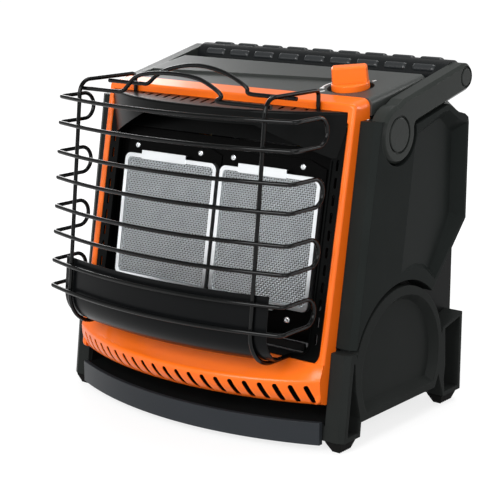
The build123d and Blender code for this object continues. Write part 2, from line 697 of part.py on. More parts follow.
def back_panel():
    """Rear wall with two arched bays that the fuel cylinders go in through, and air slots."""
    half = HOUSING_X - HOUSING_WALL - GAP
    top = TOP_SLOPE_Z - TOP_T - GAP
    y0, y1 = HOUSING_BACK - HOUSING_WALL, HOUSING_BACK
    panel = box(-half, half, y0, y1, TRAY_Z + TRAY_T + GAP, top)
    for side in (-1, 1):
        x = side * BAY_X
        panel = panel - box(x - BAY_R, x + BAY_R, y0 - GAP, y1 + GAP, BAY_BOTTOM, BAY_TOP - BAY_R)
        panel = panel - Pos(x, y1, BAY_TOP - BAY_R) * Rot(90, 0, 0) * Cylinder(BAY_R, 4 * HOUSING_WALL)
        for k in range(BACK_SLOTS):
            z = (BAY_TOP + top) / 2 + (k - (BACK_SLOTS - 1) / 2) * BACK_SLOT_PITCH
            slot = Plane.XZ.offset(-y1 - GAP) * Pos(x, z) * SlotOverall(BACK_SLOT_L, BACK_SLOT_W)
            panel = panel - extrude(slot, 4 * HOUSING_WALL)
    return panel


def roof_z(y):
    """Height of the top cover's upper face: the sloping panel, then the rear slope."""
    if y <= TOP_REAR_Y:
        return top_z(y)
    ridge = top_z(TOP_REAR_Y)
    return ridge + (TOP_SLOPE_Z - ridge) * (y - TOP_REAR_Y) / (HOUSING_BACK - TOP_REAR_Y)


def top_outline(drop, past=0.0):
    """Section of the top cover, lowered by drop and carried past its ends."""
    places = (TOP_FRONT_Y - past, TOP_REAR_Y, HOUSING_BACK + past)
    return [(y, roof_z(y) - drop) for y in places]


def top_plane(drop=0.0):
    t = radians(TOP_TILT)
    normal = Vector(0, -sin(t), cos(t))
    spot = Vector(KNOB_X, KNOB_Y, top_z(KNOB_Y)) - normal * drop
    return Plane(spot, x_dir=(1, 0, 0), z_dir=normal)


def panel_field():
    """Outline of the recessed field; its rear edge runs slightly aslant."""
    c = cos(radians(TOP_TILT))
    front, left, right = [(y - KNOB_Y) / c for y in (LABEL_FRONT, LABEL_REAR_L, LABEL_REAR_R)]
    return Polygon((LABEL_X0 - KNOB_X, front), (LABEL_X1 - KNOB_X, front),
                   (LABEL_X1 - KNOB_X, right), (LABEL_X0 - KNOB_X, left), align=None)


def top_cover():
    """Sloping control panel with rolled side edges, a recessed field and the knob's well."""
    skin = side_plate(top_outline(0) + top_outline(TOP_T + TOP_SKIRT)[::-1], -TOP_X, TOP_X)
    rolled = [e for e in skin.edges() if abs(abs(e.center().X) - TOP_X) < NEAR
              and abs(e.center().Z - roof_z(e.center().Y)) < NEAR]
    skin = fillet(rolled, TOP_EDGE_R)
    inner = TOP_X - TOP_SKIRT_T
    void = top_outline(TOP_T, TOP_T) + top_outline(2 * TOP_SKIRT + TOP_T, TOP_T)[::-1]
    skin = skin - side_plate(void, -inner, inner)
    skin = skin - extrude(top_plane() * panel_field(), -LABEL_DEPTH)
    cup = extrude(top_plane(GAP) * Circle(WELL_R + WELL_FLOOR), -WELL_DEPTH - WELL_FLOOR + GAP)
    skin = skin + cup - extrude(top_plane() * Circle(WELL_R), -WELL_DEPTH)
    return skin - extrude(top_plane() * Circle(SLEEVE_R + SLEEVE_HOLE), -2 * TOP_SKIRT)


def dial_marks():
    """Raised marks of the control's scale: one long arc and five ticks round the well."""
    ring = Circle(DIAL_R) - Circle(DIAL_R - DIAL_W)
    reach = 2 * DIAL_R
    a0, a1 = radians(DIAL_START), radians(DIAL_START + DIAL_SWEEP)
    middle = (a0 + a1) / 2
    share = Polygon((0, 0), (reach * cos(a0), reach * sin(a0)),
                    (2 * reach * cos(middle), 2 * reach * sin(middle)),
                    (reach * cos(a1), reach * sin(a1)), align=None)
    marks = ring & share
    for angle in DIAL_TICKS:
        tick = Pos(DIAL_R - DIAL_TICK_L / 2 + DIAL_TICK_L / 4, 0) * Rectangle(DIAL_TICK_L, DIAL_W)
        marks = marks + Rot(0, 0, angle) * tick
    return extrude(top_plane(0) * marks, DIAL_H)


# ----------------------------------------------------------------------------------- bezel
def lip_arc(offset=0.0):
    radius = arc_radius(LIP_X, LIP_END - LIP_FRONT)
    return radius - offset, LIP_FRONT + radius


def lip_section(x, wall):
    """Section of the vent lip at distance x from the middle: sloping apron, then a belly that
    curls down and back through a quarter of an ellipse."""
    radius, cy = lip_arc(wall)
    y = cy - sqrt(radius * radius - x * x)
    crease = LIP_CREASE - wall
    foot = LIP_BOTTOM + wall
    open_z = LIP_BOTTOM - wall
    curl = LIP_CURL + (LIP_CURL_END - LIP_CURL) * (x / LIP_X) ** 2
    under = y + curl - wall
    past = LIP_BACK + wall
    top = LIP_TOP - wall
    belly = EllipticalCenterArc((under, crease), under - y, crease - foot, 180, arc_size=90)
    if wall:
        foot_line = Polyline((under, foot), (under, open_z), (past, open_z), (past, top))
    else:
        foot_line = Polyline((under, foot), (past, foot), (past, top))
    apron = Polyline((past, top), (face_y(LIP_TOP), top), (y, crease))
    outline = Wire(belly.edges() + apron.edges() + foot_line.edges())
    corner = [v for v in outline.vertices() if abs(v.X - y) < NEAR and abs(v.Y - crease) < NEAR]
    return Plane.YZ.offset(x) * Face(outline.fillet_2d(LIP_ROLL - wall, corner))


def lip_solid(wall):
    half = LIP_X - wall
    last = LIP_SECTIONS - 1
    return loft([lip_section(half * (2 * k / last - 1), wall).face() for k in range(LIP_SECTIONS)])


def vent_lip():
    """Hollow bowed lip, ended at the bezel's front plane above the lower band."""
    z1 = LIP_TOP + FOOT_H
    depth = BEZEL_T / COS_F
    behind = [(face_y(0) + depth, 0), (face_y(LIP_JOIN_Z) + depth, LIP_JOIN_Z),
              (face_y(LIP_JOIN_Z) + BEZEL_SHEET, LIP_JOIN_Z), (face_y(z1) + BEZEL_SHEET, z1),
              (0, z1), (0, 0)]
    return lip_solid(0) - lip_solid(LIP_WALL) - side_plate(behind, -FAR, FAR)


def vent_cutters():
    """Leaning slots through the belly, square to its bow."""
    radius, cy = lip_arc()
    cutters = []
    slot = SlotCenterToCenter(2 * sqrt(VENT_RISE ** 2 + VENT_LEAN ** 2), VENT_W)
    turn = -degrees(asin(VENT_RISE / sqrt(VENT_RISE ** 2 + VENT_LEAN ** 2)))
    for k in range(VENT_COUNT):
        angle = ((k - (VENT_COUNT - 1) / 2) * VENT_PITCH + VENT_SHIFT) / radius
        spot = Plane(Vector(radius * sin(angle), cy - radius * cos(angle), VENT_Z),
                     x_dir=(cos(angle), sin(angle), 0), z_dir=(sin(angle), -cos(angle), 0))
        cutters.append(extrude(spot * Rot(0, 0, turn) * slot, LIP_CURL, both=True))
    return cutters


def bezel_frame():
    """Frame of tubular bars, hollow from behind, ended in front of the hood."""
    s0 = slope(BEZEL_BOTTOM)
    s1 = slope(BEZEL_BAR_BOTTOM) + CLIP_H + FOOT_H
    w0 = slope(BEZEL_OPEN_BOTTOM)
    top = slope(BEZEL_BAR_BOTTOM)
    sheet = BEZEL_SHEET
    outer = Pos(0, (s0 + s1) / 2) * rounded(2 * BEZEL_X, s1 - s0, BEZEL_OUTER_R)
    core = Pos(0, (s0 + s1) / 2) * rounded(2 * (BEZEL_X - sheet), s1 - s0 - 2 * sheet, BEZEL_OUTER_R)
    window = Pos(0, (w0 + top) / 2) * rounded(2 * BEZEL_IN_X, top - w0, BEZEL_OPEN_R)
    window = window + Pos(0, top - BEZEL_OPEN_R) * Rectangle(2 * BEZEL_IN_X, 2 * BEZEL_OPEN_R)
    wide = Pos(0, (w0 + top) / 2) * rounded(2 * (BEZEL_IN_X + sheet), top - w0 + 2 * sheet, BEZEL_OPEN_R)
    wide = wide + Pos(0, top - BEZEL_OPEN_R) * Rectangle(2 * (BEZEL_IN_X + sheet), 2 * BEZEL_OPEN_R)
    ring = extrude(front_plane(-BEZEL_T) * (outer - window), BEZEL_T)
    face = ring.faces().sort_by(Axis((0, 0, 0), (0, -COS_F, SIN_F)))[-1]
    ring = fillet(face.edges(), BEZEL_R)
    ring = ring - extrude(front_plane(-BEZEL_T) * (core - wide), BEZEL_T - sheet)
    # the lower band is open behind the lip, so that air reaches its vents
    ring = ring - box(-BEZEL_IN_X, BEZEL_IN_X, -FAR, 0, 0, LIP_JOIN_Z - sheet)
    return ring - box(-BEZEL_IN_X, BEZEL_IN_X, -FAR, BEZEL_TOP_FRONT, BEZEL_BAR_BOTTOM, FAR)


def bezel_top_bar():
    """Deep bar before the top cover, with rounded ends, hollow from below."""
    y0, y1 = BEZEL_TOP_FRONT, TOP_FRONT_Y - GAP
    z0 = BEZEL_BAR_BOTTOM + BAR_LIFT
    low = BEZEL_TOP - BEZEL_TOP_FALL
    bar = side_plate([(y0, z0), (y0, low), (y1, BEZEL_TOP), (y1, z0)], -BEZEL_X, BEZEL_X)
    ends = [e for e in bar.edges() if abs(abs(e.center().X) - BEZEL_X) < NEAR
            and e.center().Z > low - NEAR]
    bar = fillet(ends, BEZEL_CORNER_R)
    front = [e for e in bar.edges() if abs(e.center().Y - y0) < NEAR
             and e.length > BEZEL_X and e.center().Z > low - NEAR]
    bar = fillet(front, BEZEL_TOP_EDGE_R)
    t = BEZEL_SHEET
    half = BEZEL_X - BEZEL_CORNER_R - t
    return bar - side_plate([(y0 + t, z0 - t), (y0 + t, low - t), (y1 - t, BEZEL_TOP - t), (y1 - t, z0 - t)],
                            -half, half)


def bezel():
    """Orange front frame: tubular bars, deep top bar and the bowed lip with its vents."""
    body = bezel_frame() + bezel_top_bar() + vent_lip()
    for cutter in vent_cutters():
        body = body - cutter
    return body


def inner_bezel():
    """Black sheet frame round the fire opening, with a column of air slots each side."""
    s0 = slope(BEZEL_OPEN_BOTTOM) + GAP
    s1 = slope(BEZEL_BAR_BOTTOM) - GAP
    half = BEZEL_IN_X - GAP
    sheet = Pos(0, (s0 + s1) / 2) * rounded(2 * half, s1 - s0, BEZEL_OPEN_R - GAP)
    w0 = slope(OPEN_BOTTOM)
    w1 = slope(OPEN_TOP)
    sheet = sheet - Pos(0, (w0 + w1) / 2) * rounded(2 * OPEN_X, w1 - w0, OPEN_R)
    for side in (-1, 1):
        for k in range(SLOT_COUNT):
            s = slope(OPEN_TOP) - SLOT_TOP - k * SLOT_PITCH
            sheet = sheet - Pos(side * SLOT_X, s) * Rot(0, 0, 90) * SlotOverall(SLOT_L, SLOT_W)
    body = extrude(front_plane(-INNER_SET - INNER_T) * sheet, INNER_T)
    rim = rounded(2 * OPEN_X + 2 * INNER_T, w1 - w0 + 2 * INNER_T, OPEN_R + INNER_T)
    rim = rim - rounded(2 * OPEN_X, w1 - w0, OPEN_R)
    collar = extrude(front_plane(-INNER_SET - INNER_T) * Pos(0, (w0 + w1) / 2) * rim,
                     INNER_T + COLLAR_PROUD)
    return body + (collar - box(-FAR, FAR, -FAR, 0, HOOD_SIDE_LOW - 3, FAR))


def hood_arc(x, inset=0.0):
    """Y of the hood's rim at x, a fuller curve than a circle."""
    share = min(1.0, abs(x) / HOOD_X)
    return HOOD_FRONT + inset + (HOOD_END - HOOD_FRONT) * share ** HOOD_POWER


def hood_outline(inset, back):
    half = HOOD_X - inset
    xs = [half * k / 8 for k in range(-8, 9)]
    pts = [(x, hood_arc(x * HOOD_X / half, inset)) for x in xs]
    base = Polyline(pts[-1], (half, back), (-half, back), pts[0])
    return make_face([Spline(*pts), base])


def hood():
    """Bowed sheet hood: slotted top and a visor that follows the curve."""
    back = BEZEL_TOP_FRONT - GAP
    low = HOOD_SIDE_LOW - 8
    solid = Pos(0, 0, low) * extrude(hood_outline(0, back + FOOT_H / 2), HOOD_TOP - low)
    rim = [e for e in solid.edges() if abs(e.center().Z - HOOD_TOP) < NEAR and e.length > HOOD_X]
    rim = [e for e in rim if e.center().Y < back]
    solid = fillet(rim, HOOD_EDGE_R)
    solid = solid - Pos(0, 0, low - 1) * extrude(hood_outline(HOOD_T, back + 2 * FOOT_H),
                                                 HOOD_TOP - HOOD_T - low + 1)
    # lower edge: straight in the middle, falling to the corners of the fire opening
    span = HOOD_X - HOOD_SIDE_IN
    trim = Plane.XZ * Polygon(
        (-FAR, low - 5), (FAR, low - 5), (FAR, HOOD_SIDE_LOW), (span, HOOD_SIDE_LOW),
        (HOOD_FLAT_X, HOOD_LOW), (-HOOD_FLAT_X, HOOD_LOW), (-span, HOOD_SIDE_LOW),
        (-FAR, HOOD_SIDE_LOW), align=None)
    solid = solid - extrude(trim, FAR, both=True)
    # clear of the leaning frame behind it
    z0, z1 = low - 20, FAR
    rest = INNER_SET / COS_F - GAP
    behind = [(face_y(z0) + rest, z0), (face_y(z1) + rest, z1), (FAR, z1), (FAR, z0)]
    foot = BEZEL_BAR_BOTTOM - GAP
    upper = [(back, foot), (back, z1), (FAR, z1), (FAR, foot)]
    solid = solid - side_plate(behind, -FAR, FAR) - side_plate(upper, -FAR, FAR)
    for k in range(HOOD_SLOTS):
        x = (k - (HOOD_SLOTS - 1) / 2) * HOOD_SLOT_PITCH
        rear = BEZEL_TOP_FRONT - HOOD_SLOT_BACK
        length = min(HOOD_SLOT_L, rear - hood_arc(x) - HOOD_SLOT_FRONT)
        slot = Rot(0, 0, 90 + HOOD_SLOT_TURN) * SlotOverall(length, HOOD_SLOT_W)
        spot = Pos(x + HOOD_SLOT_SHIFT, rear - length / 2, HOOD_TOP - 2 * HOOD_T)
        solid = solid - spot * extrude(slot, 4 * HOOD_T)
    for side in (-1, 1):
        solid = solid - Pos(side * UPRIGHT_X, HOOK_BACK_Y, HOOD_TOP) * Cylinder(WIRE_R + GAP, 20)
    return solid


def frame_span(inset=0.0):
    """Lower and upper edge of the window frames up the burners' plane, drawn in by inset."""
    return burner_s(FRAME_BOTTOM) + inset, burner_s(FRAME_TOP) - inset


def firebox():
    """Folded sheet behind the fire opening: back wall round the burners and four sides."""
    back = -FRAME_PROUD - FLANGE_T - GAP
    s0 = burner_s(OPEN_BOTTOM + 8)
    s1 = burner_s(OPEN_TOP - 2)
    width = 2 * (OPEN_X - GAP)
    sheet = Pos(0, (s0 + s1) / 2) * Rectangle(width, s1 - s0)
    f0, f1 = frame_span(FRAME_RIM)
    for side in (-1, 1):
        hole = rounded(FRAME_W - 2 * FRAME_RIM, f1 - f0, FRAME_IN_R)
        sheet = sheet - Pos(side * BURNER_X, (f0 + f1) / 2) * hole
    wall = extrude(burner_plane(back - FIREBOX_T) * sheet, FIREBOX_T)
    rim = Rectangle(width, s1 - s0) - Rectangle(width - 2 * FIREBOX_T, s1 - s0 - 2 * FIREBOX_T)
    sides = extrude(burner_plane(back) * Pos(0, (s0 + s1) / 2) * rim, FIREBOX_RIM)
    return wall + sides


def shelf():
    """Pressed shelf across the foot of the fire opening, with a rolled front edge."""
    z0, z1 = SHELF_Z, SHELF_Z + SHELF_H
    front = SHELF_FRONT
    rear = burner_y(z0) + FRAME_PROUD
    outline = [(front, z0), (front, z1), (front + SHELF_ROLL, z1), (front + SHELF_ROLL, z0 + SHELF_T),
               (rear, z0 + SHELF_T), (rear, z0)]
    return side_plate(outline, -SHELF_X, SHELF_X)


# --------------------------------------------------------------------------------- burners
def burner_flange(side):
    """Mounting plate of one burner, with cropped upper corners and a window."""
    w = FLANGE_W / 2 - GAP
    s0, s1 = burner_s(FLANGE_BOTTOM), burner_s(FLANGE_TOP)
    c = FLANGE_CROP_X
    plate = Polygon((-w, s0), (w, s0), (w, s1 - FLANGE_CROP_Z), (w - c, s1), (-w + c, s1),
                    (-w, s1 - FLANGE_CROP_Z), align=None)
    f0, f1 = frame_span(FRAME_RIM)
    plate = plate - Pos(0, (f0 + f1) / 2) * rounded(FRAME_W - 2 * FRAME_RIM, f1 - f0, FRAME_IN_R)
    for dx, z in screw_places():
        plate = plate - Pos(dx, burner_s(z)) * Circle(SCREW_SHANK_R + GAP)
    plane = burner_plane(-FRAME_PROUD - FLANGE_T)
    return extrude(plane * Pos(side * BURNER_X, 0) * plate, FLANGE_T)


def screw_places():
    return [(SCREW_LEFT, SCREW_TOP), (SCREW_RIGHT, SCREW_TOP), (SCREW_LEFT, SCREW_BOTTOM),
            (SCREW_RIGHT, SCREW_BOTTOM)]


def window_frame(side):
    """Bright drawn frame that holds the wire screen in front of one tile."""
    f0, f1 = frame_span()
    outer = rounded(FRAME_W, f1 - f0, FRAME_R)
    inner = rounded(FRAME_W - 2 * FRAME_RIM, f1 - f0 - 2 * FRAME_RIM, FRAME_IN_R)
    spot = Pos(side * BURNER_X, (f0 + f1) / 2)
    return extrude(burner_plane(-FRAME_PROUD) * spot * (outer - inner), FRAME_PROUD)


def window_slab(side, front, thickness):
    """Slab that fills the window of one frame, its front face set back by front."""
    f0, f1 = frame_span(FRAME_RIM + GAP)
    sheet = rounded(FRAME_W - 2 * FRAME_RIM - 2 * GAP, f1 - f0, FRAME_IN_R - GAP)
    spot = Pos(side * BURNER_X, (f0 + f1) / 2)
    return extrude(burner_plane(-front - thickness) * spot * sheet, thickness)


def mesh_screen(side):
    """Woven screen as a thin sheet inside the frame."""
    return window_slab(side, MESH_SET, MESH_T)


def tile(side):
    """Ceramic burner tile behind the screen."""
    return window_slab(side, MESH_SET + MESH_T + TILE_GAP, TILE_T)


def plenum_back():
    """Depth of the plenum's rear face behind the burners' front plane."""
    return -MESH_SET - MESH_T - TILE_GAP - TILE_T - PLENUM_T


def plenum(side):
    """Drawn mixing chamber round and behind one tile, with its flange on the firebox."""
    f0, f1 = frame_span(FRAME_RIM)
    w = FRAME_W - 2 * FRAME_RIM
    h = f1 - f0
    spot = Pos(side * BURNER_X, (f0 + f1) / 2)
    seat = -FRAME_PROUD - FLANGE_T - FIREBOX_T - 2 * GAP
    back = plenum_back()
    wall = PLENUM_WALL
    pan = extrude(burner_plane(back) * spot * rounded(w + 2 * wall, h + 2 * wall, PLENUM_R), seat - back)
    rim = rounded(w + 2 * wall + 2 * PLENUM_RIM, h + 2 * wall + 2 * PLENUM_RIM, PLENUM_R)
    pan = pan + extrude(burner_plane(seat - wall) * spot * rim, wall)
    return pan - extrude(burner_plane(back + wall) * spot * rounded(w, h, FRAME_IN_R), seat - back)


def clip(side, s_face, height, s_hook):
    """Bright spring clip: a face over the frame's edge and a fold back to the flange."""
    x = side * BURNER_X + CLIP_SHIFT
    face = extrude(burner_plane(FIT) * Pos(x, s_face) * Rectangle(CLIP_W, height), CLIP_T)
    fold = Rectangle(CLIP_W - 4 * CLIP_FOLD, CLIP_FOLD)
    return face + extrude(burner_plane(FIT - FRAME_PROUD) * Pos(x, s_hook) * fold, FRAME_PROUD + CLIP_T / 2)


def upper_clip(side):
    """Clip over the top of the window frame."""
    s1 = burner_s(FRAME_TOP) - CLIP_LAP
    return clip(side, s1 + CLIP_H / 2, CLIP_H, s1 + CLIP_H - CLIP_FOLD / 2)


def lower_clip(side):
    """Tab under the window frame."""
    s0 = burner_s(FRAME_BOTTOM) + LOWER_CLIP_LAP
    return clip(side, s0 - LOWER_CLIP_H / 2, LOWER_CLIP_H, s0 - LOWER_CLIP_H + CLIP_FOLD / 2)


def burner_screws():
    """Pan-head screws through the burner flanges."""
    screws = []
    for side in (-1, 1):
        for dx, z in screw_places():
            spot = Pos(side * BURNER_X + dx, burner_s(z))
            head = extrude(burner_plane(FIT / 3 - FRAME_PROUD) * spot * Circle(SCREW_R), SCREW_HEAD)
            head = fillet(head.faces().sort_by(Axis.Y)[0].edges(), SCREW_DOME_R)
            shank = burner_plane(-FRAME_PROUD - SCREW_SHANK_L) * spot * Circle(SCREW_SHANK_R)
            screws.append(head + extrude(shank, SCREW_SHANK_L + FIT))
    return Compound(children=screws)


# ------------------------------------------------------------------------------ wire guard
SIN_G = sin(radians(GUARD_LEAN))
COS_G = cos(radians(GUARD_LEAN))


def guard_y(x, z):
    """Y of the rungs' centre line at distance x from the middle and height z."""
    radius = arc_radius(GUARD_X, GUARD_BOW)
    bow = sqrt(radius * radius - x * x) - (radius - GUARD_BOW)
    return GUARD_Y - (GUARD_Z - z) * tan(radians(GUARD_LEAN)) - bow


def rung(t, y_end):
    """Edges of one rung: side run, corner bend, bowed front, corner bend, side run."""
    y = GUARD_Y - t * SIN_G
    left = Line((-GUARD_X, y_end), (-GUARD_X, y))
    front = ThreePointArc((-GUARD_X, y), (0, y - GUARD_BOW), (GUARD_X, y))
    right = Line((GUARD_X, y), (GUARD_X, y_end))
    wire = Wire([left, front, right])
    corners = [v for v in wire.vertices() if abs(v.Y - y) < 0.01]
    return (Pos(0, 0, GUARD_Z - t * COS_G) * wire.fillet_2d(CORNER_R, corners)).edges()


def wire_loop(t):
    """One closed loop: two rungs joined by a half-round bend at each end."""
    y_end = GUARD_Y - t * SIN_G + LOOP_BACK
    z0 = GUARD_Z - t * COS_G
    z1 = z0 - RUNG_PAIR * COS_G
    bends = []
    for x in (-GUARD_X, GUARD_X):
        mid = (x, y_end + (z0 - z1) / 2, (z0 + z1) / 2)
        bends.append(ThreePointArc((x, y_end, z0), mid, (x, y_end, z1)))
    path = Wire(list(rung(t, y_end)) + bends + list(rung(t + RUNG_PAIR, y_end)))
    start = Plane(path @ 0, z_dir=path % 0)
    return sweep(start * Circle(WIRE_R), path=path)


def guard_loops():
    return Compound(children=[wire_loop(k * RUNG_PITCH) for k in range(RUNG_LOOPS)])


def tube(points, radii, r=WIRE_R):
    """Round bar along straight runs joined by bends."""
    path = FilletPolyline(*points, radius=radii)
    return sweep(Plane(path @ 0, z_dir=path % 0) * Circle(r), path=path)


def upright_set():
    """Distance the uprights' centre line stands behind the rungs' own."""
    radius = arc_radius(GUARD_X, GUARD_BOW)
    return (2 * WIRE_R + GAP) / cos(asin(UPRIGHT_X / radius))


def plate_line(x, set_back):
    """Side view of the guard's curled plate: top, corner of the curl and end of its foot."""
    foot = PLATE_BOTTOM + set_back
    set_back = set_back + upright_set()
    top = (guard_y(x, PLATE_TOP) + set_back, PLATE_TOP)
    low = (guard_y(x, foot) + set_back, foot)
    return top, low, (low[0] + PLATE_END, foot)


def upright(x):
    """Upright wire: hooked over the hood at the top, curled and led back to the bezel below."""
    top, low, end = plate_line(x, 0)
    head = (x, guard_y(x, HOOK_Z) + upright_set(), HOOK_Z)
    foot = (x, face_y(PLATE_BOTTOM - WIRE_R) + INNER_SET / COS_F - GAP, PLATE_BOTTOM)
    points = [(x, HOOK_BACK_Y, HOOK_TIP_Z), (x, HOOK_BACK_Y, HOOK_Z), head, (x,) + low, foot]
    return tube(points, [HOOK_TIP_R, HOOK_BEND_R, PLATE_CURL_R + WIRE_R + GAP])


def guard_uprights():
    bar = upright(UPRIGHT_X)
    return Compound(children=[bar, mirrored(bar)])


def arch_wire(y, z, rise, shape):
    """Wire with level ends and a raised middle, standing in an upright plane."""
    half = [(ARCH_WIRE_X * u, z + rise * v) for u, v in shape]
    pts = [(-ARCH_WIRE_X, z)] + [(-x, h) for x, h in half] + [(0, z + rise)]
    pts += half[::-1] + [(ARCH_WIRE_X, z)]
    hump = Spline(*[(x, y, h) for x, h in pts], tangents=((1, 0, 0), (1, 0, 0)))
    end = UPRIGHT_X + WIRE_R
    left = Line((-end, y, z), (-ARCH_WIRE_X, y, z))
    right = Line((ARCH_WIRE_X, y, z), (end, y, z))
    path = Wire([left, hump, right])
    return sweep(Plane(path @ 0, z_dir=path % 0) * Circle(WIRE_R), path=path)


def guard_arches():
    """Two arched wires welded under the hooks."""
    front = arch_wire(ARCH_FRONT_Y, ARCH_FRONT_Z, ARCH_FRONT_RISE,
                      ((0.85, 0.18), (0.717, 0.59), (0.418, 0.916)))
    rear = arch_wire(ARCH_REAR_Y, HOOK_Z - 2 * WIRE_R - GAP, ARCH_REAR_RISE,
                     ((0.86, 0.2), (0.75, 0.45), (0.41, 0.84)))
    return Compound(children=[front, rear])


def guard_plate():
    """Bowed sheet behind the uprights, curled back at its foot."""
    line = FilletPolyline(*plate_line(0, WIRE_R + GAP), radius=PLATE_CURL_R)
    sheet = offset(line, PLATE_T, side=Side.LEFT)
    radius = arc_radius(GUARD_X, GUARD_BOW)
    centre = guard_y(0, (PLATE_TOP + PLATE_BOTTOM) / 2) + radius
    axis = Axis((0, centre, 0), (0, 0, 1))
    turn = degrees(asin((PLATE_X + LEG_RIM) / radius))
    plate = revolve(Plane.YZ * make_face(sheet), axis, 2 * turn)
    plate = plate.rotate(axis, -turn)
    return plate & box(-PLATE_X, PLATE_X, -FAR, 0, 0, FAR)


# ---------------------------------------------------------------------------------- handle
def arm_plane(x):
    """Plane square to X through the pivot, its own x running up the arm at rest."""
    t = radians(ARM_ANGLE)
    return Plane((x, PIVOT_Y, PIVOT_Z), x_dir=(0, cos(t), sin(t)), z_dir=(1, 0, 0))


def arm_outline():
    low, high = ARM_LIFT, ARM_LIFT + ARM_W
    bar = Polygon((0, low), (ARM_LENGTH, low), (ARM_LENGTH, high), (ARM_SHOULDER, high),
                  (BOSS_TOE_X, BOSS_TOE_H), align=None)
    shape = Circle(BOSS_R) + bar + Pos(ARM_LENGTH, (low + high) / 2) * Circle(ARM_W / 2)
    notch = [v for v in shape.vertices() if abs(v.Y - low) < 0.01 and v.X < BOSS_R + 1]
    return fillet(notch, ARM_NOTCH_R)


def handle_arm():
    """Moulded arm: boss, straight bar and round end, chamfered on the outside."""
    body = extrude(arm_plane(HALF_WIDTH - ARM_T) * arm_outline(), ARM_T)
    body = chamfer(body.faces().sort_by(Axis.X)[-1].edges(), ARM_BEVEL)
    middle = ARM_LIFT + ARM_W / 2
    cap = extrude(arm_plane(HALF_WIDTH) * Circle(CAP_R + CAP_MOAT), -CAP_DEPTH - GAP)
    end = extrude(arm_plane(HALF_WIDTH) * Pos(ARM_LENGTH, middle) * Circle(END_CAP_R + CAP_MOAT),
                  -CAP_DEPTH - GAP)
    bore = extrude(arm_plane(0) * Circle(PIVOT_SHAFT_R), HALF_WIDTH + 1)
    seat = extrude(arm_plane(0) * Pos(ARM_LENGTH, middle) * Circle(GRIP_SPIGOT_R),
                   HALF_WIDTH - ARM_T + SPIGOT_L + GAP)
    return body - cap - end - bore - seat


def handle_grip():
    """Round cross grip with a spigot into each arm."""
    half = HALF_WIDTH - ARM_T
    bar = side_disc(GRIP_Y, GRIP_Z, GRIP_R, -half, half)
    return bar + side_disc(GRIP_Y, GRIP_Z, GRIP_SPIGOT_R, -half - SPIGOT_L, half + SPIGOT_L)


def grip_pads():
    """Two rows of soft pads let onto the grip."""
    pads = []
    for turn in (PAD_FRONT_ANGLE, PAD_TOP_ANGLE):
        a = radians(turn)
        for k in range(PAD_COUNT):
            x = (k - (PAD_COUNT - 1) / 2) * PAD_PITCH
            shell = Circle(GRIP_R + PAD_PROUD) - Circle(GRIP_R)
            ring = extrude(Plane.YZ.offset(x - PAD_L / 2) * Pos(GRIP_Y, GRIP_Z) * shell, PAD_L)
            plane = Plane((x, GRIP_Y, GRIP_Z), x_dir=(1, 0, 0), z_dir=(0, cos(a), sin(a)))
            block = extrude(plane * rounded(PAD_L, PAD_W, PAD_R), GRIP_R * 2)
            pads.append(ring & block)
    return Compound(children=pads)


def round_cap(radius, along=0.0, across=0.0):
    """Pair of round covers with a softened rim, let into both arms."""
    spot = Pos(along, across)
    disc = extrude(arm_plane(HALF_WIDTH - CAP_DEPTH) * spot * Circle(radius), CAP_DEPTH)
    disc = fillet(disc.faces().sort_by(Axis.X)[-1].edges(), CAP_EDGE_R)
    return Compound(children=[disc, mirrored(disc)])


def pivot_caps():
    """Round covers over the pivots, each in a sunk ring."""
    return round_cap(CAP_R)


def end_caps():
    """Round plugs over the grip's fixings."""
    return round_cap(END_CAP_R, ARM_LENGTH, ARM_LIFT + ARM_W / 2)


def pivot_pins():
    """Stepped pins the arms turn on, with the nut inside the housing wall."""
    inner = HOUSING_X - HOUSING_WALL - GAP
    pin = side_disc(PIVOT_Y, PIVOT_Z, PIVOT_SHAFT_R, inner - NUT_T, HALF_WIDTH - CAP_DEPTH - 2 * GAP)
    nut = Plane.YZ.offset(inner - NUT_T) * Pos(PIVOT_Y, PIVOT_Z) * RegularPolygon(NUT_R, 6)
    pin = pin + extrude(nut, NUT_T)
    return Compound(children=[pin, mirrored(pin)])


# --------------------------------------------------------------------------- knob and valve
def knob_blade():
    """Cross grip: a drawn-in round bar between two flats, all its top edges rounded alike."""
    dome = extrude(Circle(KNOB_R - KNOB_GRIP_INSET), KNOB_H, taper=KNOB_GRIP_TAPER)
    dome = fillet(dome.faces().sort_by(Axis.Z)[-1].edges(), KNOB_EDGE_R)
    half = KNOB_GRIP_T / 2
    top = half - KNOB_H * tan(radians(KNOB_GRIP_TAPER))
    flats = Polygon((-half, 0), (half, 0), (top, KNOB_H), (-top, KNOB_H), align=None)
    flats = fillet(flats.vertices().group_by(Axis.Y)[-1], KNOB_EDGE_R)
    return dome & extrude(Plane.YZ * flats, KNOB_R, both=True)


def knob():
    """Control knob: round skirt and a cross grip, with a blind bore for its stem."""
    skirt = extrude(Circle(KNOB_R), KNOB_SKIRT_H)
    skirt = chamfer(skirt.faces().sort_by(Axis.Z)[-1].edges(), KNOB_SKIRT_BEVEL)
    body = skirt + Rot(0, 0, KNOB_TURN) * knob_blade() - extrude(Circle(STEM_R), KNOB_BORE)
    return top_plane(KNOB_SINK).location * body


def valve_stem():
    """Round stem from the knob down through the push sleeve."""
    low = VALVE_DROP + SLEEVE_DEPTH
    return extrude(top_plane(low) * Circle(STEM_R), low - KNOB_SINK + KNOB_BORE - GAP)


def push_sleeve():
    """Sleeve under the knob that is pushed down with it."""
    low = VALVE_DROP + SLEEVE_DEPTH
    ring = Circle(SLEEVE_R) - Circle(STEM_R + FIT)
    return extrude(top_plane(low) * ring, low - KNOB_SINK - GAP)


def port_y():
    """Depth of the valve's side port, on the stem's own line."""
    return KNOB_Y + (top_z(KNOB_Y) - PIPE_Z) * tan(radians(TOP_TILT))


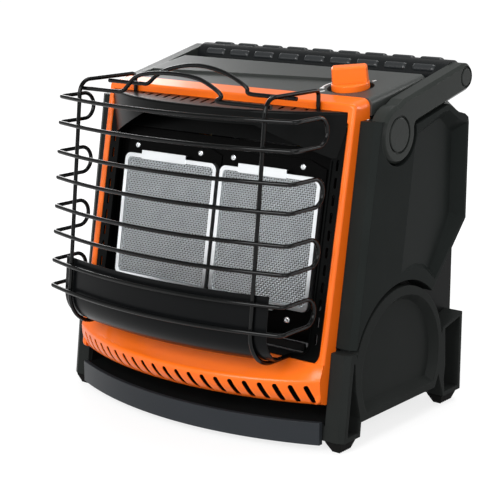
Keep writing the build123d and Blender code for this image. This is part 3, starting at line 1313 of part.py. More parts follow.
def valve_body():
    """Gas valve under the cover, with its neck, blind bore and side port."""
    body = extrude(top_plane(VALVE_DROP + VALVE_H) * Circle(VALVE_R), VALVE_H)
    neck_l = VALVE_DROP - WELL_DEPTH - WELL_FLOOR - GAP
    neck = extrude(top_plane(VALVE_DROP) * Circle(SLEEVE_R + VALVE_NECK), neck_l)
    port = side_disc(port_y(), PIPE_Z, PIPE_R + 3, KNOB_X - VALVE_R - VALVE_PORT, KNOB_X)
    depth = VALVE_DROP + SLEEVE_DEPTH + KNOB_PUSH + SLEEVE_ROOM
    return body + neck + port - extrude(top_plane(0) * Circle(SLEEVE_R + FIT), -depth)


# ------------------------------------------------------------------------- gas train, bays
def regulator(side):
    """Diaphragm regulator hung under the bridge: bowl, clamped rim and lower boss."""
    spot = Pos(side * BAY_X, BAY_Y, 0)
    z1 = BRIDGE_Z - GAP
    z0 = z1 - REGULATOR_H
    body = spot * Pos(0, 0, (z0 + z1) / 2) * Cylinder(REGULATOR_R - REGULATOR_STEP, z1 - z0)
    rim = spot * Pos(0, 0, z1 - 1.5 * REGULATOR_RIM_H) * Cylinder(REGULATOR_R, REGULATOR_RIM_H)
    return fillet((body + rim).faces().sort_by(Axis.Z)[0].edges(), REGULATOR_STEP)


def inlet_collar(side):
    """Threaded collar that a disposable cylinder screws into from below."""
    z1 = BRIDGE_Z - REGULATOR_H - 2 * GAP
    outer = INLET_R + INLET_WALL
    spot = Pos(side * BAY_X, BAY_Y, 0)
    collar = spot * Pos(0, 0, z1 - INLET_DEPTH / 2) * Cylinder(outer, INLET_DEPTH)
    low = z1 - INLET_DEPTH - INLET_FLOOR
    return collar - spot * Pos(0, 0, low + INLET_DEPTH / 2) * Cylinder(INLET_R, INLET_DEPTH)


def regulator_bridge():
    """Folded shelf across the housing that carries both regulators."""
    half = HOUSING_X - HOUSING_WALL - GAP
    y0, y1 = BAY_Y - REGULATOR_R - REGULATOR_STEP, HOUSING_BACK - HOUSING_WALL - GAP
    z1 = BRIDGE_Z + BRIDGE_T
    plate = box(-half, half, y0, y1, BRIDGE_Z, z1)
    plate = plate + box(-half, half, y0, y0 + BRIDGE_T, BRIDGE_Z - BRIDGE_FOLD, z1)
    for side in (-1, 1):
        plate = plate - Pos(side * BAY_X, BAY_Y, BRIDGE_Z) * Cylinder(PIPE_R + GAP, BRIDGE_FOLD)
    return plate


def supply_pipe():
    """Pipe that joins the regulators and runs forward to the valve."""
    z0 = BRIDGE_Z - GAP
    y = port_y() + 2
    top = top_z(KNOB_Y) - (VALVE_DROP + VALVE_H) * cos(radians(TOP_TILT)) - 3
    run = [(-BAY_X, BAY_Y, z0), (-BAY_X, BAY_Y, SUPPLY_Z), (KNOB_X, BAY_Y, SUPPLY_Z),
           (KNOB_X, y, SUPPLY_Z), (KNOB_X, y, top)]
    drop = Pos(BAY_X, BAY_Y, (z0 + SUPPLY_Z) / 2) * Cylinder(PIPE_R, SUPPLY_Z - z0)
    return tube(run, PIPE_BEND, PIPE_R) + drop


def burner_pipe():
    """Feed from the valve to a cross pipe over both injectors."""
    y = port_y()
    feed = tube([(KNOB_X - VALVE_R - VALVE_PORT - GAP, y, PIPE_Z), (FEED_X, y, PIPE_Z),
                 (FEED_X, VENTURI_Y, PIPE_Z), (FEED_X, VENTURI_Y, MANIFOLD_Z)], PIPE_BEND, PIPE_R)
    z0 = VENTURI_TOP + 2 * GAP + INJECTOR_H
    cross = tube([(-BURNER_X, VENTURI_Y, z0), (-BURNER_X, VENTURI_Y, MANIFOLD_Z),
                  (BURNER_X, VENTURI_Y, MANIFOLD_Z), (BURNER_X, VENTURI_Y, z0)], PIPE_BEND - 1, PIPE_R)
    return cross + feed


def injectors():
    """Brass injectors over the mouths of the mixing tubes."""
    nuts = []
    for side in (-1, 1):
        spot = Pos(side * BURNER_X, VENTURI_Y, VENTURI_TOP + GAP)
        nuts.append(spot * extrude(RegularPolygon(INJECTOR_R, 6), INJECTOR_H))
    return Compound(children=nuts)


def venturi(side):
    """Mixing tube from the injector down into the back of one plenum."""
    x = side * BURNER_X
    start = (x, burner_y(VENTURI_LOW) + 20, VENTURI_LOW)
    run = [start, (x, VENTURI_Y, VENTURI_LOW), (x, VENTURI_Y, VENTURI_TOP)]
    solid = tube(run, VENTURI_BEND, VENTURI_R) - tube(run, VENTURI_BEND, VENTURI_R - VENTURI_WALL)
    return solid - extrude(burner_plane(plenum_back() - GAP) * Rectangle(2 * FAR, 2 * FAR), FAR / 2)


def heat_shield():
    """Sheet between the burners and the cylinder bays."""
    half = HOUSING_X - HOUSING_WALL - GAP
    return box(-half, half, SHIELD_Y, SHIELD_Y + SHIELD_T, TRAY_Z + TRAY_T + GAP, SHIELD_TOP)


def bay_walls():
    """Two sheets that part the cylinder bays from each other."""
    y0 = SHIELD_Y + SHIELD_T + GAP
    y1 = HOUSING_BACK - HOUSING_WALL - GAP
    z0, z1 = TRAY_Z + TRAY_T + GAP, BRIDGE_Z - BRIDGE_FOLD - GAP
    wall = box(DIVIDER_X, DIVIDER_X + DIVIDER_T, y0, y1, z0, z1)
    return Compound(children=[wall, mirrored(wall)])


def pilot_y():
    return burner_y(SHELF_Z) + FRAME_PROUD - 0.6 * PILOT_FOOT_D


def pilot_burner():
    """Small pilot on the shelf between the burners."""
    z0 = SHELF_Z + SHELF_T + GAP
    y = pilot_y()
    half = PILOT_FOOT_W / 2
    foot = box(-half, half, y - PILOT_FOOT_D / 2, y + PILOT_FOOT_D / 2, z0, z0 + PILOT_FOOT_T)
    tube_part = Pos(0, y, z0 + PILOT_FOOT_T + PILOT_H / 2) * Cylinder(PILOT_R, PILOT_H)
    head = Pos(0, y - 1, z0 + PILOT_H + 1) * Box(PILOT_HEAD_W, PILOT_FOOT_D - 1, 2 * PILOT_FOOT_T)
    return foot + tube_part + head


def pilot_probes():
    """Thermocouple and spark electrode, standing either side of the pilot."""
    rods = []
    for x, r, height in PROBES:
        z = SHELF_Z + SHELF_T + PILOT_FOOT_T + 2 * GAP + height / 2
        rods.append(Pos(x, pilot_y(), z) * Cylinder(r, height))
    return Compound(children=rods)


def tip_switch():
    """Tilt cut-off in its case on the tray."""
    z0 = TRAY_Z + TRAY_T + GAP
    case = Pos(0, SWITCH_Y, z0 + SWITCH_H / 2) * Box(SWITCH_W, SWITCH_D, SWITCH_H)
    return fillet(case.edges().filter_by(Axis.Z), SADDLE_T)


def pair(make):
    return Compound(children=[make(-1), make(1)])


def both(name, shape):
    return [(name + "_right", shape), (name + "_left", mirrored(shape))]


def all_parts():
    parts = []
    parts += both("base_side", base_side())
    parts += [("front_crossbar", front_crossbar()), ("base_tray", base_tray()), ("feet", feet())]
    parts += [("cylinder_saddles", cylinder_saddles())]
    parts += both("side_cover", side_cover()) + both("housing_side", housing_side())
    parts += [("back_panel", back_panel()), ("top_cover", top_cover()), ("dial_marks", dial_marks())]
    parts += [("front_bezel", bezel()), ("inner_bezel", inner_bezel()), ("hood", hood())]
    parts += [("firebox", firebox()), ("shelf", shelf()), ("burner_screws", burner_screws())]
    for side, tag in ((-1, "_left"), (1, "_right")):
        parts += [("burner_flange" + tag, burner_flange(side)), ("tile" + tag, tile(side))]
        parts += [("window_frame" + tag, window_frame(side)), ("plenum" + tag, plenum(side))]
        parts += [("mesh_screen" + tag, mesh_screen(side)), ("venturi" + tag, venturi(side))]
        parts += [("regulator" + tag, regulator(side))]
    parts += [("upper_clips", pair(upper_clip)), ("lower_clips", pair(lower_clip))]
    parts += [("inlet_collars", pair(inlet_collar))]
    parts += [("guard_loops", guard_loops()), ("guard_uprights", guard_uprights())]
    parts += [("guard_arches", guard_arches()), ("guard_plate", guard_plate())]
    parts += both("handle_arm", handle_arm())
    parts += [("handle_grip", handle_grip()), ("grip_pads", grip_pads())]
    parts += [("pivot_caps", pivot_caps()), ("end_caps", end_caps()), ("pivot_pins", pivot_pins())]
    parts += [("knob", knob()), ("valve_stem", valve_stem()), ("push_sleeve", push_sleeve())]
    parts += [("valve_body", valve_body()), ("regulator_bridge", regulator_bridge())]
    parts += [("supply_pipe", supply_pipe()), ("burner_pipe", burner_pipe())]
    parts += [("injectors", injectors()), ("heat_shield", heat_shield())]
    parts += [("bay_walls", bay_walls()), ("tip_switch", tip_switch())]
    parts += [("pilot_burner", pilot_burner()), ("pilot_probes", pilot_probes())]
    return parts


def main():
    os.makedirs("parts", exist_ok=True)
    parts = all_parts()
    boxes = [shape.bounding_box() for name, shape in parts]
    middle = (min(b.min.Y for b in boxes) + max(b.max.Y for b in boxes)) / 2
    for name, shape in parts:
        moved = Pos(0, -middle, 0) * shape
        moved.label = name
        export_step(moved, "parts/" + name + ".step")


main()
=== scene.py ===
from math import cos, pi, radians, sin
import bpy
import numpy as np
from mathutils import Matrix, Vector


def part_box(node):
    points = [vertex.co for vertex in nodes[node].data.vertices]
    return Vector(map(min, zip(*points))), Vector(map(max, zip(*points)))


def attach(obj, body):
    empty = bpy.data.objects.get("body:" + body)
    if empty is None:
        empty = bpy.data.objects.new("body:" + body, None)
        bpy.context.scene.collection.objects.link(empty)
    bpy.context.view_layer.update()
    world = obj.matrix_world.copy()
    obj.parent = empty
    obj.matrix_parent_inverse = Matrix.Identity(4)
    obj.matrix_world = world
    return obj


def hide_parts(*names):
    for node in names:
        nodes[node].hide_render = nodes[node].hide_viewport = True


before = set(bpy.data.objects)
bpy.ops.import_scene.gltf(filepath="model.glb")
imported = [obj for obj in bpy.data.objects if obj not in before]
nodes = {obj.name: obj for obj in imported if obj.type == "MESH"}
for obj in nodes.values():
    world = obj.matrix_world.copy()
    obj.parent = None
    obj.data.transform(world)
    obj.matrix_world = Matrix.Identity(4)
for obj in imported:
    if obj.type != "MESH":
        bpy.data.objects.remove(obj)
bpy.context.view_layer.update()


# ---- studio ------------------------------------------------------------------------------
# A wide white sweep of floor under soft lamps, and the camera at a three-quarter view from
# the heater's front right, a little above it. The floor fills the picture up to its top.
MM = 0.001
AIM = Vector((-0.0162, 0.03468, 0.1714))
VIEW_AZIMUTH = radians(38.64)
VIEW_ELEVATION = radians(13.27)
VIEW_DISTANCE = 1.6991
LENS = 103.64
SENSOR_WIDTH = 36.0
FLOOR_SIZE = 120.0
FLOOR_DROP = 0.0002          # keeps the floor just clear of the soles
FLOOR_HEX = "#909090"        # the lit floor, dark enough to throw little light up at the heater
NEAR_GLOW = 0.78             # what brings it up to white for the eye and for mirrors, up to
NEAR_EDGE = 0.35             # this many metres from the heater's middle
FAR_GLOW = 0.93              # and the same where the lamps fade, from FAR_EDGE on
FAR_EDGE = 1.0
WORLD_HEX = "#FFFFFF"
WORLD_LIGHT = 0.42           # strength of the white surround as light
WORLD_SHINE = 0.45           # and in mirrors; the eye sees it at its full strength


def linear(hex_colour):
    """sRGB hex to linear: v/12.92 below 0.04045, else ((v + 0.055)/1.055) to the power 2.4."""
    value = np.array([int(hex_colour[k:k + 2], 16) for k in (1, 3, 5)]) / 255
    curve = np.where(value <= 0.04045, value / 12.92, ((value + 0.055) / 1.055) ** 2.4)
    return (*curve, 1.0)


def add_node(tree, kind, inputs=None, **settings):
    """Adds one node. Inputs take a value, or another node's output as a link."""
    node = tree.nodes.new(kind)
    for key, value in settings.items():
        setattr(node, key, value)
    for key, value in (inputs or {}).items():
        if isinstance(value, bpy.types.NodeSocket):
            tree.links.new(value, node.inputs[key])
        else:
            node.inputs[key].default_value = value
    return node


scene = bpy.context.scene
scene.view_settings.view_transform = "Standard"

lens_body = bpy.data.cameras.new("camera")
lens_body.lens = LENS
lens_body.sensor_width = SENSOR_WIDTH
camera = bpy.data.objects.new("camera", lens_body)
scene.collection.objects.link(camera)
sight = Vector((sin(VIEW_AZIMUTH) * cos(VIEW_ELEVATION),
                -cos(VIEW_AZIMUTH) * cos(VIEW_ELEVATION), sin(VIEW_ELEVATION)))
camera.location = AIM + sight * VIEW_DISTANCE
camera.rotation_euler = sight.to_track_quat("Z", "Y").to_euler()
scene.camera = camera

half_floor = FLOOR_SIZE / 2
floor_mesh = bpy.data.meshes.new("floor")
floor_mesh.from_pydata([(x * half_floor, y * half_floor, -FLOOR_DROP)
                        for x, y in ((-1, -1), (1, -1), (1, 1), (-1, 1))], [], [(0, 1, 2, 3)])
floor = bpy.data.objects.new("floor", floor_mesh)
scene.collection.objects.link(floor)

# matt paper sweep: the shadow stays in the lit part, and the glow brings the rest up to white
paper = bpy.data.materials.new("paper_sweep")
paper.use_nodes = True
tree = paper.node_tree
tree.nodes.clear()
lit = add_node(tree, "ShaderNodeBsdfDiffuse", {"Color": linear(FLOOR_HEX)})
path = add_node(tree, "ShaderNodeLightPath")
seen = add_node(tree, "ShaderNodeMath", {0: path.outputs["Is Camera Ray"],
                                         1: path.outputs["Is Glossy Ray"]}, operation="MAXIMUM")
seen = add_node(tree, "ShaderNodeMath", {0: seen.outputs[0],
                                         1: path.outputs["Is Transmission Ray"]},
                operation="MAXIMUM")
place = add_node(tree, "ShaderNodeNewGeometry")
reach = add_node(tree, "ShaderNodeVectorMath", {0: place.outputs["Position"]}, operation="LENGTH")
fade = add_node(tree, "ShaderNodeMapRange",
                {"Value": reach.outputs["Value"], "From Min": NEAR_EDGE, "From Max": FAR_EDGE,
                 "To Min": NEAR_GLOW, "To Max": FAR_GLOW})
glow = add_node(tree, "ShaderNodeMath", {0: seen.outputs[0], 1: fade.outputs[0]},
                operation="MULTIPLY")
shine = add_node(tree, "ShaderNodeEmission", {"Strength": glow.outputs[0]})
both = add_node(tree, "ShaderNodeAddShader", {0: lit.outputs[0], 1: shine.outputs[0]})
add_node(tree, "ShaderNodeOutputMaterial", {"Surface": both.outputs[0]})
floor_mesh.materials.append(paper)

world = bpy.data.worlds.new("studio")
world.use_nodes = True
scene.world = world
tree = world.node_tree
tree.nodes.clear()
path = add_node(tree, "ShaderNodeLightPath")
gloss = add_node(tree, "ShaderNodeMath", {0: path.outputs["Is Glossy Ray"],
                                          1: WORLD_SHINE - WORLD_LIGHT, 2: WORLD_LIGHT},
                 operation="MULTIPLY_ADD")
direct = add_node(tree, "ShaderNodeMath", {0: gloss.outputs[0], 1: path.outputs["Is Camera Ray"]},
                  operation="MAXIMUM")
sky = add_node(tree, "ShaderNodeBackground", {"Color": linear(WORLD_HEX),
                                              "Strength": direct.outputs[0]})
add_node(tree, "ShaderNodeOutputWorld", {"Surface": sky.outputs[0]})


def soft_lamp(name, place, width, height, watts):
    """Rectangular soft box, its face turned to the heater's middle."""
    lamp = bpy.data.lights.new(name, "AREA")
    lamp.shape = "RECTANGLE"
    lamp.size = width
    lamp.size_y = height
    lamp.energy = watts
    holder = bpy.data.objects.new(name, lamp)
    scene.collection.objects.link(holder)
    holder.location = place
    holder.rotation_euler = (Vector(place) - AIM).to_track_quat("Z", "Y").to_euler()


# the key lights the front, the fill its right side; the rear and edge lamps draw the top's edges
soft_lamp("lamp_key", (0.1, -2.2, 1.35), width=1.2, height=1.2, watts=44)
soft_lamp("lamp_left", (-1.75, -1.95, 0.55), width=1.3, height=0.8, watts=3.5)
soft_lamp("lamp_fill", (1.9, -1.5, 1.0), width=1.0, height=1.2, watts=19)
soft_lamp("lamp_top", (0.2, 0.6, 2.3), width=1.6, height=1.2, watts=20)
soft_lamp("lamp_rear", (-2.0, 1.35, 1.05), width=0.9, height=0.8, watts=11)
soft_lamp("lamp_edge", (1.3, 2.3, 1.0), width=0.8, height=0.8, watts=12)


# ---- base: side frames, crossbar, feet, tray and housing -----------------------------------
# The two side frames and the bowed crossbar are injection-moulded glass-filled nylon with a fine
# spark-eroded grain. The feet are moulded rubber, and the tray and the housing's sheets are
# pressed steel under powder coat.
GRAIN_MM = 0.7               # the real grain is near 0.2 mm; this is as fine as the render shows
MOULD_EDGE_MM = 1.2          # radius that a mould leaves on its edges
RESIN_IOR = 1.5              # of plastics, paints and enamels
MOULD_DRIFT_MM = 45.0        # size of the slow drift of shade over moulded faces
COAT_DRIFT_MM = 70.0         # and over painted ones
GLOSS_DRIFT = 0.06           # how far the drift moves the roughness, either way
NOISE_ROUGHNESS = 0.55


def new_finish(name, colour, roughness, sockets=None):
    """Material with one Principled shader; returns the material, its tree and the shader."""
    finish = bpy.data.materials.new(name)
    finish.use_nodes = True
    tree = finish.node_tree
    shader = tree.nodes["Principled BSDF"]
    values = {"Base Color": linear(colour), "Roughness": roughness, **(sockets or {})}
    for key, value in values.items():
        shader.inputs[key].default_value = value
    finish.diffuse_color = linear(colour)
    return finish, tree, shader


def noise_on(tree, size_mm, detail, stretch=(1.0, 1.0, 1.0)):
    """Noise whose blobs are size_mm across, fixed to the piece."""
    place = add_node(tree, "ShaderNodeTexCoord")
    turned = add_node(tree, "ShaderNodeMapping", {"Vector": place.outputs["Object"],
                                                  "Scale": stretch})
    return add_node(tree, "ShaderNodeTexNoise", {"Vector": turned.outputs[0],
                                                 "Scale": 1 / (size_mm * MM), "Detail": detail,
                                                 "Roughness": NOISE_ROUGHNESS})


def between(tree, factor, low, high):
    """Number that runs from low to high as the factor goes from 0 to 1."""
    spread = add_node(tree, "ShaderNodeMapRange", {"Value": factor, "To Min": low,
                                                   "To Max": high})
    return spread.outputs[0]


def shades(tree, factor, dark, light):
    """Colour that runs between two hex shades."""
    mix = add_node(tree, "ShaderNodeMix", {"Factor": factor, 6: linear(dark), 7: linear(light)},
                   data_type="RGBA")
    return mix.outputs[2]


def relief(tree, shader, height, depth_mm, round_mm=0.0):
    """Bump of the given real depth, over edges that are softened by a real radius."""
    bump = add_node(tree, "ShaderNodeBump", {"Height": height, "Distance": depth_mm * MM})
    if round_mm:
        soft = add_node(tree, "ShaderNodeBevel", {"Radius": round_mm * MM})
        tree.links.new(soft.outputs[0], bump.inputs["Normal"])
    tree.links.new(bump.outputs[0], shader.inputs["Normal"])


def resin(name, dark, light, roughness, specular, drift_mm):
    """Plastic or paint whose shade drifts slowly between two; also returns the drift."""
    finish, tree, shader = new_finish(name, dark, roughness,
                                      {"IOR": RESIN_IOR, "Specular IOR Level": specular})
    drift = noise_on(tree, drift_mm, 2.0)
    tree.links.new(shades(tree, drift.outputs[0], dark, light), shader.inputs["Base Color"])
    return finish, tree, shader, drift


def moulded(name, dark, light, roughness, grain_mm, depth_mm, specular=0.04):
    """Moulded plastic: even grain, and a slow drift of shade and gloss from tool and handling."""
    finish, tree, shader, drift = resin(name, dark, light, roughness, specular, MOULD_DRIFT_MM)
    grain = noise_on(tree, grain_mm, 2.0)
    tree.links.new(between(tree, drift.outputs[0], roughness - GLOSS_DRIFT,
                           roughness + GLOSS_DRIFT), shader.inputs["Roughness"])
    relief(tree, shader, grain.outputs[0], depth_mm, MOULD_EDGE_MM)
    return finish


def powder_coat(name, dark, light, roughness, peel_mm, depth_mm, specular):
    """Powder coat or enamel on sheet steel: orange-peel waviness under a thin gloss."""
    finish, tree, shader, _ = resin(name, dark, light, roughness, specular, COAT_DRIFT_MM)
    peel = noise_on(tree, peel_mm, 1.0)
    relief(tree, shader, peel.outputs[0], depth_mm)
    return finish


def dress(finish, *names):
    """Gives CAD nodes the finish."""
    for name in names:
        for place in nodes[name].material_slots:
            place.material = finish


# glass-filled nylon: near black, and its grain breaks the gloss into a soft sheen
nylon = moulded("glass_filled_nylon", "#242625", "#292B2A", roughness=0.32, grain_mm=GRAIN_MM,
                depth_mm=0.015, specular=0.015)
dress(nylon, "base_side_left", "base_side_right")
# same plastic from a smoother tool: a shade cooler and glossier
bar_nylon = moulded("smooth_nylon", "#2A2D30", "#2F3236", roughness=0.32, grain_mm=GRAIN_MM,
                    depth_mm=0.01, specular=0.12)
dress(bar_nylon, "front_crossbar")
# soft rubber: dead matt, with dust in the grain
rubber = moulded("foot_rubber", "#141414", "#1E1E1D", roughness=0.8, grain_mm=1.2, depth_mm=0.05)
dress(rubber, "feet")
# dull powder coat: a flat black that stays behind the plastics round it
dull_black = powder_coat("black_powder_coat", "#101111", "#151616", roughness=0.5, peel_mm=1.6,
                         depth_mm=0.02, specular=0.06)
dress(dull_black, "base_tray", "cylinder_saddles", "bay_walls", "regulator_bridge",
      "housing_side_left", "housing_side_right", "back_panel")


# ---- side covers ---------------------------------------------------------------------------
# Large moulded covers over the housing's sides, held from inside, with a grained outer skin.
# Each has a sunk field behind a raised rim, and a round socket for the handle's pivot.

# grained polypropylene: a little darker than the base, so that the two read apart
cover_skin = moulded("grained_polypropylene", "#1F2221", "#252827", roughness=0.30,
                     grain_mm=GRAIN_MM, depth_mm=0.015, specular=0.015)
dress(cover_skin, "side_cover_left", "side_cover_right")


# ---- burners -------------------------------------------------------------------------------
# Each burner is a pressed flange with a ceramic tile behind a woven stainless screen, which a
# bright drawn frame and two spring clips hold. Four plated pan-head screws fix it.
STREAK_DULL = 0.10           # how much rougher the streaks make bare metal
STREAK_BRIGHT = 0.08         # and how much smoother
STREAK_DEEP_MM = 0.01
TILE_HOLE_MM = 2.6
TILE_HOLE_DEEP_MM = 0.4
TILE_RIM = 2.5               # how sharply the painted shade in a hole ends at its rim
BURNER_TILT = radians(9.5)
ACROSS = np.array([1, 0, 0])
UP_SLOPE = np.array([0, sin(BURNER_TILT), cos(BURNER_TILT)])
OUTWARD = np.array([0, -cos(BURNER_TILT), sin(BURNER_TILT)])
WEAVE_PITCH = 2.4 * MM       # the real cloth is 1.6 mm; this is the finest that shows as a weave
WEAVE_WIRE = 0.52 * MM       # radius of a wire
WEAVE_SWING = 0.42 * MM      # how far a wire swings over and under its neighbours
WEAVE_SIDES = 4
TUCK_WIDE = 2 * MM           # how much wider than its window the cloth is, under the frame
TUCK_HIGH = 1.6 * MM         # and how much higher


def plain_metal(name, colour, roughness, streak_mm, stretch):
    """Bare metal: fine streaks along its rolling direction in gloss and relief."""
    finish, tree, shader = new_finish(name, colour, roughness, {"Metallic": 1.0})
    streak = noise_on(tree, streak_mm, 4.0, stretch)
    tree.links.new(between(tree, streak.outputs[0], roughness - STREAK_BRIGHT,
                           roughness + STREAK_DULL), shader.inputs["Roughness"])
    relief(tree, shader, streak.outputs[0], STREAK_DEEP_MM)
    return finish


def tube_faces(rings, around):
    """Quads of a tube: point (i, j) joins (i, j+1), (i+1, j+1) and (i+1, j), and j wraps."""
    i, j = np.meshgrid(np.arange(rings - 1), np.arange(around), indexing="ij")
    j2 = (j + 1) % around
    quads = np.stack([i * around + j, i * around + j2, (i + 1) * around + j2,
                      (i + 1) * around + j], -1)
    return quads.reshape(-1, 4)


def new_piece(name, points, quads, finish):
    """Smooth mesh object from arrays of points and faces, in metres, in the heater's own frame."""
    mesh = bpy.data.meshes.new(name)
    mesh.from_pydata(points.tolist(), [], quads.tolist())
    mesh.materials.append(finish)
    mesh.polygons.foreach_set("use_smooth", np.full(len(mesh.polygons), True))
    mesh.update()
    piece = bpy.data.objects.new(name, mesh)
    scene.collection.objects.link(piece)
    return piece


def on_burner(place, u, v, w):
    """Point = place + u across + v up the burner's slope + w outward, for arrays of u, v and w."""
    return place + u[:, None] * ACROSS + v[:, None] * UP_SLOPE + w[:, None] * OUTWARD


def woven_wires(length, width, phase):
    """Wires along u, one pitch apart in v: wire n has w = swing * cos(pi * (u/pitch + n + phase)),
    with a ring of points round each step."""
    count = int(width // WEAVE_PITCH)
    steps = 2 * int(length // WEAVE_PITCH) + 1
    n = np.arange(count)
    u = np.linspace(-length / 2, length / 2, steps)
    v = (n - (count - 1) / 2) * WEAVE_PITCH
    turn = np.arange(WEAVE_SIDES) * 2 * pi / WEAVE_SIDES
    swing = WEAVE_SWING * np.cos(pi * (u[None, :] / WEAVE_PITCH + n[:, None] + phase))
    ring_v = v[:, None, None] + WEAVE_WIRE * np.cos(turn)[None, None, :]
    ring_w = swing[:, :, None] + WEAVE_WIRE * np.sin(turn)[None, None, :]
    ring_u = np.broadcast_to(u[None, :, None], ring_w.shape)
    ring_v = np.broadcast_to(ring_v, ring_w.shape)
    quads = tube_faces(steps, WEAVE_SIDES)[None] + (n * steps * WEAVE_SIDES)[:, None, None]
    return np.stack([ring_u, ring_v, ring_w], -1).reshape(-1, 3), quads.reshape(-1, 4)


# bright annealed stainless: nearly a mirror, with soft streaks
bright_steel = plain_metal("bright_stainless", "#EDF0F2", roughness=0.34, streak_mm=3.0,
                           stretch=(0.05, 1.0, 1.0))
dress(bright_steel, "window_frame_left", "window_frame_right", "upper_clips", "lower_clips")
# aluminised sheet: dull silver with soft spangle
dull_steel = plain_metal("aluminised_sheet", "#A8AAAC", roughness=0.42, streak_mm=6.0,
                         stretch=(1.0, 1.0, 0.4))
dress(dull_steel, "plenum_left", "plenum_right", "venturi_left", "venturi_right", "heat_shield",
      "pilot_burner", "pivot_pins")
# satin black enamel of the burner flanges and the firebox: deep black that shows off the frames
flange_enamel = powder_coat("satin_black_enamel", "#040404", "#060606", roughness=0.40,
                            peel_mm=2.5, depth_mm=0.01, specular=0.03)
dress(flange_enamel, "burner_flange_left", "burner_flange_right", "firebox")
# cordierite tile: matt, its pale colour darkened to a warm grey as painted shade from the screen
# in front of it, with a close pattern of flame holes painted darker still as shade in the holes
tile_with_painted_shade, tree, shader = new_finish("cordierite_tile_painted_shade", "#5E5A53", 0.85)
spot = add_node(tree, "ShaderNodeTexCoord")
holes = add_node(tree, "ShaderNodeTexVoronoi", {"Vector": spot.outputs["Object"],
                                               "Scale": 1 / (TILE_HOLE_MM * MM),
                                               "Randomness": 0.0})
edge = between(tree, holes.outputs["Distance"], 0.0, TILE_RIM)
# painted shade: each flame hole is dark brown-grey at its middle and rises to the tile's grey by
# its rim
tree.links.new(shades(tree, edge, "#2A2824", "#625E57"), shader.inputs["Base Color"])
relief(tree, shader, edge, TILE_HOLE_DEEP_MM)
dress(tile_with_painted_shade, "tile_left", "tile_right")
# stainless wire cloth: grey with bright tops and dark gaps, a little uneven from heat
screen_wire, tree, shader = new_finish("stainless_wire_cloth", "#C9CDD0", 0.42, {"Metallic": 1.0})
wear = noise_on(tree, 18.0, 2.0)
tree.links.new(shades(tree, wear.outputs[0], "#AEB3B6", "#C8CDD0"), shader.inputs["Base Color"])

for side in ("left", "right"):
    low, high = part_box("mesh_screen_" + side)
    width = high.x - low.x + TUCK_WIDE
    height = (high.z - low.z) / cos(BURNER_TILT) + TUCK_HIGH
    upright, faces_up = woven_wires(height, width, 0.0)
    across, faces_over = woven_wires(width, height, 1.0)
    flat = np.concatenate([upright[:, [1, 0, 2]], across])
    quads = np.concatenate([faces_up[:, ::-1], faces_over + len(upright)])
    screen = new_piece("wire_cloth_" + side, on_burner(np.array((low + high) / 2), *flat.T), quads,
                       screen_wire)
    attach(screen, "frame")
    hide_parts("mesh_screen_" + side)


# The screws: zinc-plated pan heads with a cross recess, two above and two below each screen.
SCREW_R = 3.55 * MM
SCREW_DOME = 2.1 * MM
SCREW_FALL = 0.8             # how far the dome falls towards its rim, 1 being all the way
SCREW_RIM = 0.999            # past this share of the radius the head drops to the flange
CROSS_ARM = 1.9 * MM
CROSS_WIDTH = 0.5 * MM       # half width of the recess
CROSS_SLOPE = 0.5 * CROSS_WIDTH   # width over which its wall falls
CROSS_DEEP = 0.9 * MM
SCREW_STEPS = 40
SCREW_SPIN = 0.7             # turn from one screw to the next, so that the crosses don't line up
BURNER_X = 72.0 * MM
SCREW_X = (-55.5 * MM, 40.8 * MM)    # from a burner's middle
SCREW_Z = (295.5 * MM, 131.5 * MM)
FRAME_Y, FRAME_Z = -41.32 * MM, 290.0 * MM   # a point in the plane of the frames' faces
FRAME_PROUD = 5.9 * MM       # how far the frames stand out from the flanges
SCREW_SPOTS = [(side * BURNER_X + x, z) for side in (-1, 1) for x in SCREW_X for z in SCREW_Z]


def sheet_faces(rows, columns):
    """Quads of an open grid whose point (i, j) is number i * columns + j."""
    i, j = np.meshgrid(np.arange(rows - 1), np.arange(columns - 1), indexing="ij")
    k = (i * columns + j).ravel()
    return np.stack([k, k + 1, k + columns + 1, k + columns], -1)


def screw_heads():
    """Domes h = dome * sqrt(1 - fall * r^4), r from 0 to 1, with a cross pressed in at the middle.
    The square grid is drawn onto the disc by r = max(|a|, |b|)."""
    steps = np.linspace(-1, 1, SCREW_STEPS)
    a, b = np.meshgrid(steps, steps, indexing="ij")
    r = np.maximum(np.abs(a), np.abs(b))
    spread = np.hypot(a, b)
    spread[spread == 0] = 1
    x, y = SCREW_R * a * r / spread, SCREW_R * b * r / spread
    dome = SCREW_DOME * np.sqrt(np.maximum(0, 1 - SCREW_FALL * r ** 4)) * (r < SCREW_RIM)
    arm = np.minimum(np.maximum(np.abs(x) - CROSS_WIDTH, np.abs(y) - CROSS_ARM),
                     np.maximum(np.abs(y) - CROSS_WIDTH, np.abs(x) - CROSS_ARM))
    h = (dome - CROSS_DEEP * np.clip(0.5 - arm / CROSS_SLOPE, 0, 1)).ravel()
    x, y = x.ravel(), y.ravel()
    quads = sheet_faces(SCREW_STEPS, SCREW_STEPS)[:, [0, 3, 2, 1]]
    flange = np.array([0.0, FRAME_Y, FRAME_Z]) - FRAME_PROUD * OUTWARD
    points, faces = [], []
    for n, (screw_x, screw_z) in enumerate(SCREW_SPOTS):
        spin = SCREW_SPIN * n
        place = flange + screw_x * ACROSS + (screw_z - FRAME_Z) / cos(BURNER_TILT) * UP_SLOPE
        u = x * cos(spin) - y * sin(spin)
        v = x * sin(spin) + y * cos(spin)
        points.append(on_burner(place, u, v, h))
        faces.append(quads + n * h.size)
    return np.concatenate(points), np.concatenate(faces)


# bright zinc plate: small hard glints on the domes
plated, tree, shader = new_finish("bright_zinc_plate", "#E4E7E9", 0.22, {"Metallic": 1.0})
tree.links.new(between(tree, noise_on(tree, 1.5, 3.0).outputs[0], 0.16, 0.34),
               shader.inputs["Roughness"])
heads = new_piece("screw_heads", *screw_heads(), plated)
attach(heads, "frame")
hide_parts("burner_screws")


